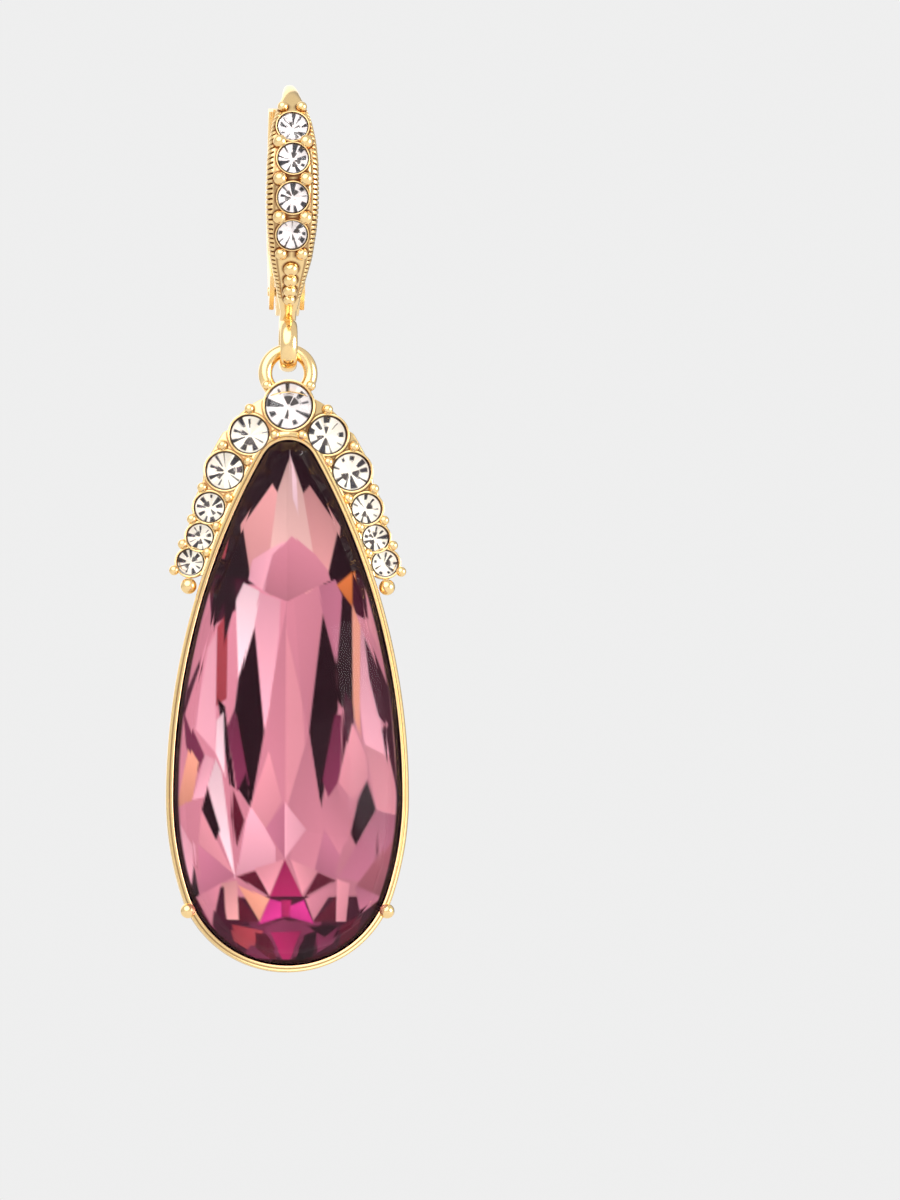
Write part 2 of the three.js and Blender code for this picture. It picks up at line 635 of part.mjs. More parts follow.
// Cup around the teardrop stone: banded side wall, closed domed back, pocket for the stone
function settingCup() {
  const outer = STONE_GAP + WALL_THICKNESS;
  const inner = outer - BAND_GROOVE;
  const front = -RIM_FRONT;
  const deep = (share) => front + share * WALL_DEPTH;
  const keelDrop = (STONE_HALF_WIDTH - BREAK_INSET) * Math.tan(THREE.MathUtils.degToRad(KEEL_PAVILION.slope));
  const bottom = girdleBack + PAVILION_BREAK_DEPTH + keelDrop + BACK_SHEET;
  const rings = [
    level(outline(inner), front),
    level(outline(outer), deep(0.04)),
    level(outline(outer), deep(0.22)),
    level(outline(inner), deep(0.25)),
    level(outline(outer), deep(0.28)),
    level(outline(outer), deep(0.71)),
    level(outline(inner), deep(0.74)),
    level(outline(outer), deep(0.77)),
    level(outline(outer), deep(0.96)),
    level(outline(inner), deep(1)),
    level(outline(0, 0.9, 0.96), deep(1) + 0.5 * (bottom - deep(1))),
    level(outline(0, 0.55, 0.8), bottom),
  ];
  return { cup: toSolid(skin(rings)), pocket: pavilionForm(front - CROWN_HEIGHT, STONE_GAP) };
}

// Seats of the cap's right arm: each lies off the outline, at its own gap from the seat before
function capSeats() {
  const seats = [];
  let before = { x: 0, z: topStoneZ, radius: TOP_STONE_RADIUS, angle: Math.PI / 2 };
  for (const row of CAP_STONES) {
    const radius = row.radius * TOP_STONE_RADIUS;
    const reach = before.radius + radius + row.gap;
    let [high, low] = [before.angle, 0];
    for (let i = 0; i < 40; i += 1) {
      const angle = (high + low) / 2;
      const [x, z] = outlinePoint(angle, radius + row.away);
      if (Math.hypot(x - before.x, z - before.z) < reach) high = angle;
      else low = angle;
    }
    const [x, z] = outlinePoint(high, radius + row.away);
    before = { ...row, x, z, radius, angle: high };
    seats.push(before);
  }
  return seats;
}

const seatRows = capSeats();
const lean = Math.tan(THREE.MathUtils.degToRad(CAP_TILT));
const capY = (x) => -CAP_FRONT + Math.abs(x) * lean;

// Moves a piece made for the upright cap back by the lean of the arm on its side
function leaned(geometry, side) {
  const shear = new THREE.Matrix4().set(1, 0, 0, 0, side * lean, 1, 0, 0, 0, 0, 1, 0, 0, 0, 0, 1);
  return geometry.applyMatrix4(shear);
}

function beadAround(seat, turn, radius, standoff, side) {
  const angle = THREE.MathUtils.degToRad(turn);
  const reach = seat.radius + standoff;
  const x = side * (seat.x + reach * Math.sin(angle));
  const z = seat.z + reach * Math.cos(angle);
  return bead(radius, new THREE.Vector3(x, capY(x) - 0.25 * radius, z));
}

// Solder seam that fills the cup's front groove behind one arm of the cap
function seamStrip(side) {
  const end = seatRows[seatRows.length - 1].angle;
  const angles = halfOutline.filter((angle) => angle > end);
  const edge = (offset) => angles.map((angle) => outlinePoint(angle, offset)).map(([x, z]) => [side * x, z]);
  const outer = edge(STONE_GAP + WALL_THICKNESS + SEAM_STANDS);
  const inner = edge(STONE_GAP + WALL_THICKNESS / 2);
  return toSolid(frontPrism([...outer, ...inner.reverse()], 0.02 * WALL_DEPTH - RIM_FRONT, WALL_DEPTH / 2));
}

function capArm(side) {
  const solids = [];
  const edge = seatRows.map((seat) => {
    const reach = seat.radius + 0.4 * COLLAR_WIDTH;
    return [side * (seat.x + reach * Math.cos(seat.angle)), seat.z + reach * Math.sin(seat.angle)];
  });
  const wallTurns = [Math.PI / 2, ...seatRows.map(({ angle }) => angle)];
  const wall = wallTurns.map((angle) => outlinePoint(angle, STONE_GAP + WALL_THICKNESS / 2));
  const web = [[0, topStoneZ], ...edge, ...wall.reverse().map(([x, z]) => [side * x, z])];
  solids.push(toSolid(leaned(frontPrism(web, -CAP_FRONT, CAP_DEPTH), side)), seamStrip(side));
  for (const seat of seatRows) {
    const collar = disc(seat.radius + COLLAR_WIDTH, -CAP_FRONT - COLLAR_STANDS, CAP_DEPTH + COLLAR_STANDS);
    solids.push(toSolid(leaned(collar.translate(side * seat.x, 0, seat.z), side)));
    solids.push(beadAround(seat, seat.outer, BEAD_RADIUS, BEAD_STANDOFF, side));
    solids.push(beadAround(seat, -seat.inner, BEAD_RADIUS, BEAD_STANDOFF, side));
  }
  const last = seatRows[seatRows.length - 1];
  solids.push(beadAround(last, LAST_BEAD_TURN, BEAD_RADIUS, BEAD_RADIUS, side));
  const cornerAway = COLLAR_WIDTH + 0.7 * CORNER_BEAD_RADIUS;
  solids.push(beadAround(last, CORNER_BEAD_TURN, CORNER_BEAD_RADIUS, cornerAway, side));
  return joined(solids);
}

function bailRing() {
  const profile = Array.from({ length: WIRE_SIDES + 1 }, (_, i) => {
    const angle = (2 * Math.PI * i) / WIRE_SIDES;
    const radius = BAIL_RING_RADIUS + BAIL_WIRE_RADIUS * Math.cos(angle);
    return new THREE.Vector2(radius, BAIL_WIRE_RADIUS * Math.sin(angle));
  });
  return toSolid(new THREE.LatheGeometry(profile, LINK_SIDES).translate(0, 0, bailZ));
}

const topStoneFront = -CAP_FRONT - COLLAR_STANDS;

function dropSetting() {
  const { cup, pocket } = settingCup();
  const topCollar = disc(TOP_STONE_RADIUS + COLLAR_WIDTH, topStoneFront, COLLAR_STANDS + CAP_FRONT);
  const top = { x: 0, z: topStoneZ, radius: TOP_STONE_RADIUS };
  const parts = [cup, toSolid(topCollar.translate(0, 0, topStoneZ)), capArm(1), capArm(-1), bailRing()];
  for (const side of [-1, 1]) {
    parts.push(beadAround(top, TOP_BEAD_TURN, BEAD_RADIUS, BEAD_STANDOFF, side));
    const offset = STONE_GAP + WALL_THICKNESS;
    const angle = -Math.asin((bottomRadius - PRONG_ABOVE_BOTTOM) / (bottomRadius + offset));
    const [x, z] = outlinePoint(angle, offset);
    parts.push(bead(PRONG_RADIUS, new THREE.Vector3(side * x, -RIM_FRONT - 0.2 * PRONG_RADIUS, z)));
  }
  let body = joined(parts).subtract(pocket);
  const reach = 3 * TOP_STONE_RADIUS;
  const topSeat = roundSeat(TOP_STONE_RADIUS, reach);
  body = body.subtract(toSolid(topSeat.translate(0, topStoneFront + SEAT_GAP, topStoneZ)));
  for (const seat of seatRows) {
    for (const side of [-1, 1]) {
      const room = roundSeat(seat.radius, reach);
      room.translate(side * seat.x, topStoneFront + SEAT_GAP, seat.z);
      body = body.subtract(toSolid(leaned(room, side)));
    }
  }
  return body;
}

function capStones() {
  const topStone = roundStone(TOP_STONE_RADIUS).translate(0, topStoneFront + SEAT_GAP, topStoneZ);
  const stones = [asMesh("cap_stone_top", facingOut(topStone), CLEAR)];
  for (const [side, word] of [[-1, "left"], [1, "right"]]) {
    seatRows.forEach((seat, i) => {
      const stone = roundStone(seat.radius).translate(side * seat.x, topStoneFront + SEAT_GAP, seat.z);
      stones.push(asMesh(`cap_stone_${word}_${i + 1}`, facingOut(leaned(stone, side)), CLEAR));
    });
  }
  return stones;
}

const earring = new THREE.Group();
earring.add(asMesh("ear_hoop", toGeometry(earHoop()), GOLD));
earring.add(asMesh("ear_lever", toGeometry(earLever()), GOLD));
earring.add(asMesh("lever_pin", facingOut(pinBar(PIN_RADIUS, LEVER_WIDTH + 2 * PIN_HEAD_STANDS)), GOLD));
earring.add(...hoopStones());
earring.add(asMesh("drop_setting", toGeometry(dropSetting()), GOLD));
earring.add(...capStones());
earring.add(teardropStone());

export default earring;
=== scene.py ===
import math

import bpy
import numpy as np
from mathutils import Matrix, Vector


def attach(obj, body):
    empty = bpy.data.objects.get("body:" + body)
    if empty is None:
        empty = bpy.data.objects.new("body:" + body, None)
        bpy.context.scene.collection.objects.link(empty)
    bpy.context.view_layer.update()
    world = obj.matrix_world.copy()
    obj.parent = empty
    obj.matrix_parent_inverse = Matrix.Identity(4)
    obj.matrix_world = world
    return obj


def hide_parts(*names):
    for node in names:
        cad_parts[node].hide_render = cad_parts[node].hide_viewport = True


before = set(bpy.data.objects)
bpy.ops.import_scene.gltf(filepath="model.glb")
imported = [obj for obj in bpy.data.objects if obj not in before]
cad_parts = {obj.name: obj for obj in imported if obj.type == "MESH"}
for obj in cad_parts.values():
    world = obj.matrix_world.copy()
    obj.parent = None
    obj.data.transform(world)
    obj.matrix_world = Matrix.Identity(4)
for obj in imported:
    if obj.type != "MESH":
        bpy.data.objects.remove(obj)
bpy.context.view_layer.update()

bl_info = {
    "name": "Teardrop Earring",
    "version": (1, 0, 0),
    "blender": (4, 5, 0),
    "location": "View3D > Sidebar > Earring",
    "description": "Dresses a gold plated drop earring with its hoop, lever, stones and studio",
    "category": "Object",
}

MM = 0.001

# Ear wire and ribbed front strip, in millimetres
WIRE_DIAMETER = 0.76
HOOP_HEIGHT = 14.0
HOOP_REACH = 5.6
HOOP_BACK = 3.9
STRIP_WIDTH = 3.4
STRIP_THICKNESS = 1.9
RIB_PITCH = 0.3
RIB_DEPTH = 0.11
RIB_SLANT = 0.6
RIB_GROOVE = 0.42
STRIP_SQUARENESS = 1.4

# Where the ribs end and the front's border line runs, as sines of the section's angle
RIBS_UP_TO, RIBS_EASE = 0.8, 0.08
BORDER_AT, BORDER_WIDTH = 0.845, 0.03

# Eye, tang, pin, lever and tongue
EYE_DROP = 2.45
EYE_HOLE_RADIUS = 0.95
EYE_RADIAL = 0.8
EYE_WIDTH = 1.12
PIN_Z = -12.6
PIN_Y = 2.83
PIN_RADIUS = 0.3
PIN_BOSS_RADIUS = 0.62
PIN_HEAD_STANDS = 0.08
PIN_HEAD_BEND = 0.07
PIN_BOSS_BEND = 0.08
LEVER_BULGE = 3.04
LEVER_WIDTH = 2.28
LEVER_SHEET = 0.3
TANG_WIDTH = 1.5
TONGUE_WIDTH = 1.0
TONGUE_SHEET = 0.2
# Where the tang leaves the hoop, as shares of its line, and the neck's first two places (y, z)
TANG_FROM, TANG_TO = 0.93, 0.98
NECK_START, NECK_BEND = (-0.75, -13.72), (-0.28, -14.15)
# Sizes of the neck above the eye: along, half width, half depth
NECK_SIZES = np.array([(0, 0.52, 0.42), (0.3, 0.54, 0.5), (0.6, 0.55, 0.48), (1, 0.5, 0.3)])

# Round stones: shares of the stone's radius, and the room round it
ROUND_GIRDLE = 0.08
ROUND_PAVILION = 0.55
SEAT_GAP = 0.05
HOOP_STONE_RADIUS = 0.95
HOOP_BEAD_RADIUS = 0.44
HOOP_BEAD_ACROSS = 0.83
HOOP_COLLAR = 0.14
HOOP_COLLAR_WIDTH = 0.09
HOOP_COLLAR_STANDS = HOOP_COLLAR / 2 + 0.01
HOOP_PIT_FLOOR = 0.06
BEAD_LIFT = 0.05

# Teardrop stone and its cup
STONE_LENGTH = 33.5
STONE_HALF_WIDTH = 7.25
STONE_WIDEST_DOWN = 22.8
STONE_TIP_RADIUS = 1.8
STONE_HIP_RADIUS = 19.85
GIRDLE_THICKNESS = 0.25
BREAK_INSET = 0.9
PAVILION_BREAK_DEPTH = 0.7
STONE_GAP = 0.06
WALL_THICKNESS = 0.44
RIM_FRONT = 1.35
WALL_DEPTH = 1.93
BACK_SHEET = 0.45
BAND_GROOVE = 0.07
# Bands as shares of the wall's depth, the rim's bend, the room behind the stone, and by how much the
# bowl and the dome taper along the stone
BANDS_DOWN = (0.25, 0.74)
RIM_BEND = 0.07
BOWL_CLEAR = 0.24
DOME_TAPER = 0.45
# Fine groove in the rim's face: in from the wall, depth, painted shade mask
RIM_GROOVE = ((0.27, 0, 0), (0.23, 0.04, 0.5), (0.18, 0.04, 0.5), (0.14, 0.02, 0))
# Share of the stone's length at which the drawn in outlines have their middle
OUTLINE_MIDDLE = 0.62
PRONG_RADIUS = 0.48
PRONG_ABOVE_BOTTOM = 3.4
# Post under each lower prong: radius, height, painted shade mask
PRONG_POST = ((0.001, -0.9, 0.1), (0.36, -0.9, 0.1), (0.4, -0.2, 0.5), (0.34, 0.1, 0.3), (0.001, 0.15, 0.3))
FOIL_GAP = 0.03
# Width of the dark band of painted shade along the teardrop foil's edge
FOIL_EDGE = 0.44

# Cap and bail
TOP_STONE_RADIUS = 1.5
TOP_STONE_AWAY = 0.77
CAP_DEPTH = 1.0
CAP_FRONT = 1.3
CAP_LEAN = math.tan(math.radians(7))
COLLAR_WIDTH = 0.36
COLLAR_STANDS = 0.15
CAP_COLLAR_WIDTH = 0.15
CAP_COLLAR_STANDS = 0.03
CAP_COLLAR_DEPTH = 0.5
# Angle by which the cap runs past its last seats, and how far back the seats reach
SEAT_EDGE = 0.012
SEATS_BEHIND = 0.4
# Cap's plate: rounding of its edge, depth of its pits, and the dips between the seats
PLATE_BEND = 0.12
PLATE_PIT = 0.12
SCALLOP_DEPTH, SCALLOP_WIDTH = 0.16, 0.22
# Section of the border along the cup's wall: past the wall, behind the cap's face, painted shade mask
BORDER_SECTION = np.array([
    (-0.06, 0.2, 1), (-0.06, -0.1, 0.1), (0.11, -0.1, 0),
    (0.15, -0.07, 0.2), (0.16, -0.02, 0.9), (0.16, 0.2, 1),
])
BEAD_RADIUS = 0.33
BEAD_STANDOFF = 0.42
CAP_BEAD_LIFT = 0.45
CORNER_BEAD_RADIUS = 0.52
BAIL_WIRE_RADIUS = 0.45
BAIL_RING_RADIUS = 1.46
BAIL_ABOVE_STONE = 0.76
BAIL_GAP = 0.12
TOP_BEAD_TURN = 47
LAST_BEAD_TURN = 117
CORNER_BEAD_TURN = 176

# How finely each kind of surface is divided
HOOP_RINGS, HOOP_SIDES = 760, 84
BALL_ROWS, BALL_SIDES = 16, 28
PLATE_SIDES = 24
RIBBON_SIDES = 32
ROD_SIDES = 40
CONE_RINGS, CONE_SIDES = 22, 96
FOIL_ROWS, FOIL_COLUMNS = 300, 140
NECK_RINGS = 40
TANG_RINGS = 20
TONGUE_RINGS = 60
LEVER_RINGS = 120
SHEET_RINGS = 400
SPLINE_STEPS = 4001
SEAT_STEPS = 20001
EASE_REACH = 15

# Slope and turns of the facets on the back of the teardrop stone, in degrees
LOWER_PAVILION = {"slope": 37.9, "turns": (90, 58, 30, 20, 9, -2, -14, -30, -50, -70, -90)}
KEEL_PAVILION = {"slope": 11.5, "turns": (75, 29, 14, 0, -18, -42, -66, -90)}

# Centre line and section of the hoop as shares: forward, down, thick, wide
HOOP_ROWS = np.array([
    (-1.0, 0.128, 0, 0),
    (-0.93, 0.093, 0, 0),
    (-0.77, 0.054, 0, 0),
    (-0.46, 0.018, 0, 0),
    (-0.1, 0.001, 0, 0),
    (0.07, 0.0, 0, 0),
    (0.27, 0.012, 0.02, 0.03),
    (0.43, 0.032, 0.05, 0.06),
    (0.66, 0.08, 0.12, 0.17),
    (0.8, 0.145, 0.25, 0.45),
    (0.893, 0.208, 0.43, 0.67),
    (0.96, 0.294, 0.65, 0.85),
    (1.0, 0.4, 0.91, 0.97),
    (0.975, 0.5, 0.96, 1),
    (0.914, 0.593, 1, 1),
    (0.795, 0.689, 1, 0.92),
    (0.604, 0.8, 0.87, 0.75),
    (0.429, 0.879, 0.65, 0.51),
    (0.25, 0.943, 0.52, 0.32),
    (0.09, 1.0, 0.39, 0.17),
])
RIBS_FROM, RIBS_TO = 0.405, 0.965
HOOP_STONES_ALONG = (0.475, 0.562, 0.656, 0.748)
# Bead pairs on the strip: along, size, across
HOOP_BEAD_PAIRS = (
    (0.414, 0.78, 0.72),
    (0.519, 1, 1),
    (0.609, 1, 1),
    (0.702, 1, 1),
    (0.8, 0.9, 0.8),
)
# Single beads on the strip: along, size
LOWER_BEADS = ((0.845, 1.1), (0.881, 1.02), (0.916, 1), (0.95, 0.88))

# Edges of the lever's side as shares: back, down
LEVER_BACK_EDGE = np.array([
    (0.1, 0.021), (0.53, 0.196), (0.98, 0.379), (1.0, 0.543),
    (0.86, 0.621), (0.18, 0.836), (-0.2, 0.925), (-0.59, 0.993),
])
# Row of the back edge down to which the bent sheet reaches
SHEET_ENDS = 5
LEVER_FRONT_EDGE = np.array([
    (-0.26, 0.05), (-0.05, 0.093), (0.42, 0.293), (0.39, 0.571),
    (0.23, 0.671), (-0.33, 0.757), (-1.095, 0.85),
])
TONGUE_ROWS = np.array([
    (-0.42, 0.88), (0.02, 0.79), (0.48, 0.672), (0.68, 0.56), (0.66, 0.42),
])

# Stones on each arm of the cap: radius share, away, gap, outer turn, inner turn
CAP_STONES = (
    (0.813, 0.35, 0.39, 0, 92),
    (0.8, 0.56, 0.39, 5, 69),
    (0.63, 0.7, 0.42, 20, 63),
    (0.553, 0.65, 0.2, 25, 58),
    (0.553, 0.67, 0.08, 23, 61),
)

# How strongly the painted shade mask darkens the gold, and the painted shade behind beads, lighter on the
# lowest ones
PAINTED_SHADE_GAIN = 1.15
BEAD_SHADE, LOW_BEAD_SHADE = 0.6, 0.25
# Angle in degrees past which an edge is shaded sharp
SHARP_ANGLE = 40

EYE_Z = -(HOOP_HEIGHT + EYE_DROP)
BAIL_Z = EYE_Z - (EYE_HOLE_RADIUS - BAIL_GAP - BAIL_WIRE_RADIUS) - BAIL_RING_RADIUS
TOP_STONE_Z = BAIL_Z - BAIL_ABOVE_STONE - TOP_STONE_RADIUS
TIP_Z = TOP_STONE_Z - TOP_STONE_RADIUS - TOP_STONE_AWAY
TOP_STONE_FRONT = -CAP_FRONT - COLLAR_STANDS
GIRDLE_FRONT = -RIM_FRONT + STONE_GAP
GIRDLE_BACK = GIRDLE_FRONT + GIRDLE_THICKNESS

# Share of each tint that the foils hold, since glow and studio light add to it
FOIL_SHARE = 0.63
ROUND_FOIL_SHARE = 1.15
# Times that light meets the glass tint on its way to the foil and back, undone in the foil's colours
GLASS_PASSES = 2.05
# How much a facet's painted reflection drifts in tone from side to side, over which share of its size,
# and how wide the soft edge between facets is
FACET_FADE = 0.5
FACET_REACH = 0.6
FACET_BLEND = 0.1
# Seeds of the facets' directions, and of the first stone on the hoop and on the cap
FOIL_SEED = 7
HOOP_FOIL_SEED, CAP_FOIL_SEED = 11, 41

# Long and short dark wedges of painted reflection in each round stone's foil, and the tints of its painted
# reflections and edge shade
WEDGES, SPARKS = 9, 3
COOL_FOIL = (0.9, 0.84, 0.86)
# Warm tint of the cap stones' foils: painted reflection of the gold round them
WARM_FOIL = (0.92, 0.88, 0.8)
WEDGE_TINT = (0.03, 0.028, 0.035)
SPARK_TINT = (0.06, 0.05, 0.05)
# Painted shade at the foil cone's edge
CONE_EDGE_TINT = (0.05, 0.03, 0.02)

# Tints of the painted reflections and painted shade on the foil behind the teardrop stone
TINTS = {
    "night": (0.013, 0.002, 0.005),
    "plum": (0.055, 0.006, 0.018),
    "wine": (0.1, 0.006, 0.018),
    "mauve": (0.19, 0.023, 0.065),
    "brick": (0.38, 0.042, 0.058),
    "magenta": (0.43, 0.014, 0.1),
    "fuchsia": (0.68, 0.03, 0.24),
    "fig": (0.4, 0.1, 0.14),
    "dusty": (0.53, 0.148, 0.235),
    "rose": (0.63, 0.193, 0.268),
    "salmon": (0.74, 0.285, 0.3),
    "shell": (0.81, 0.415, 0.41),
    "peach": (0.84, 0.3, 0.22),
    "pink": (0.78, 0.26, 0.33),
    "blush": (0.87, 0.345, 0.45),
    "petal": (0.94, 0.55, 0.64),
    "orange": (0.74, 0.165, 0.045),
}

# Share of the room's light that comes from straight behind, which draws the gold's edges darker, and
# how far towards the back it starts and ends to fall
BEHIND_SHARE = 0.45
BEHIND_FROM, BEHIND_TO = 0.3, 0.85
# Floor: radius in metres, corners, and the shares of the backdrop's colour that it throws back and glows
FLOOR_RADIUS = 0.8
FLOOR_SIDES = 64
FLOOR_SHADE = 0.3
FLOOR_GLOW = 0.68

# Soft lights: name, place, size, power, in metres and watts, and the place that they are turned to
LIGHTS = (
    ("key_light", (-0.16, -0.35, 0.25), 0.7, 2.0),
    ("side_light", (0.29, -0.15, 0.0), 0.22, 0.75),
    ("back_light", (-0.1, 0.3, 0.12), 0.45, 0.5),
)
LIGHT_AIM = Vector((0, 0, -0.03))

# Camera: turn and height of the view in degrees, frame height in millimetres, and where the eye's centre
# stands in the picture, in millimetres left of and above its middle
VIEW_TURN = -4.5
VIEW_RISE = -4.5
FRAME_HEIGHT = 77.42
EYE_LEFT = 10.45
EYE_ABOVE = 16.45
SENSOR_HEIGHT = 36
CLIP_START = 0.01
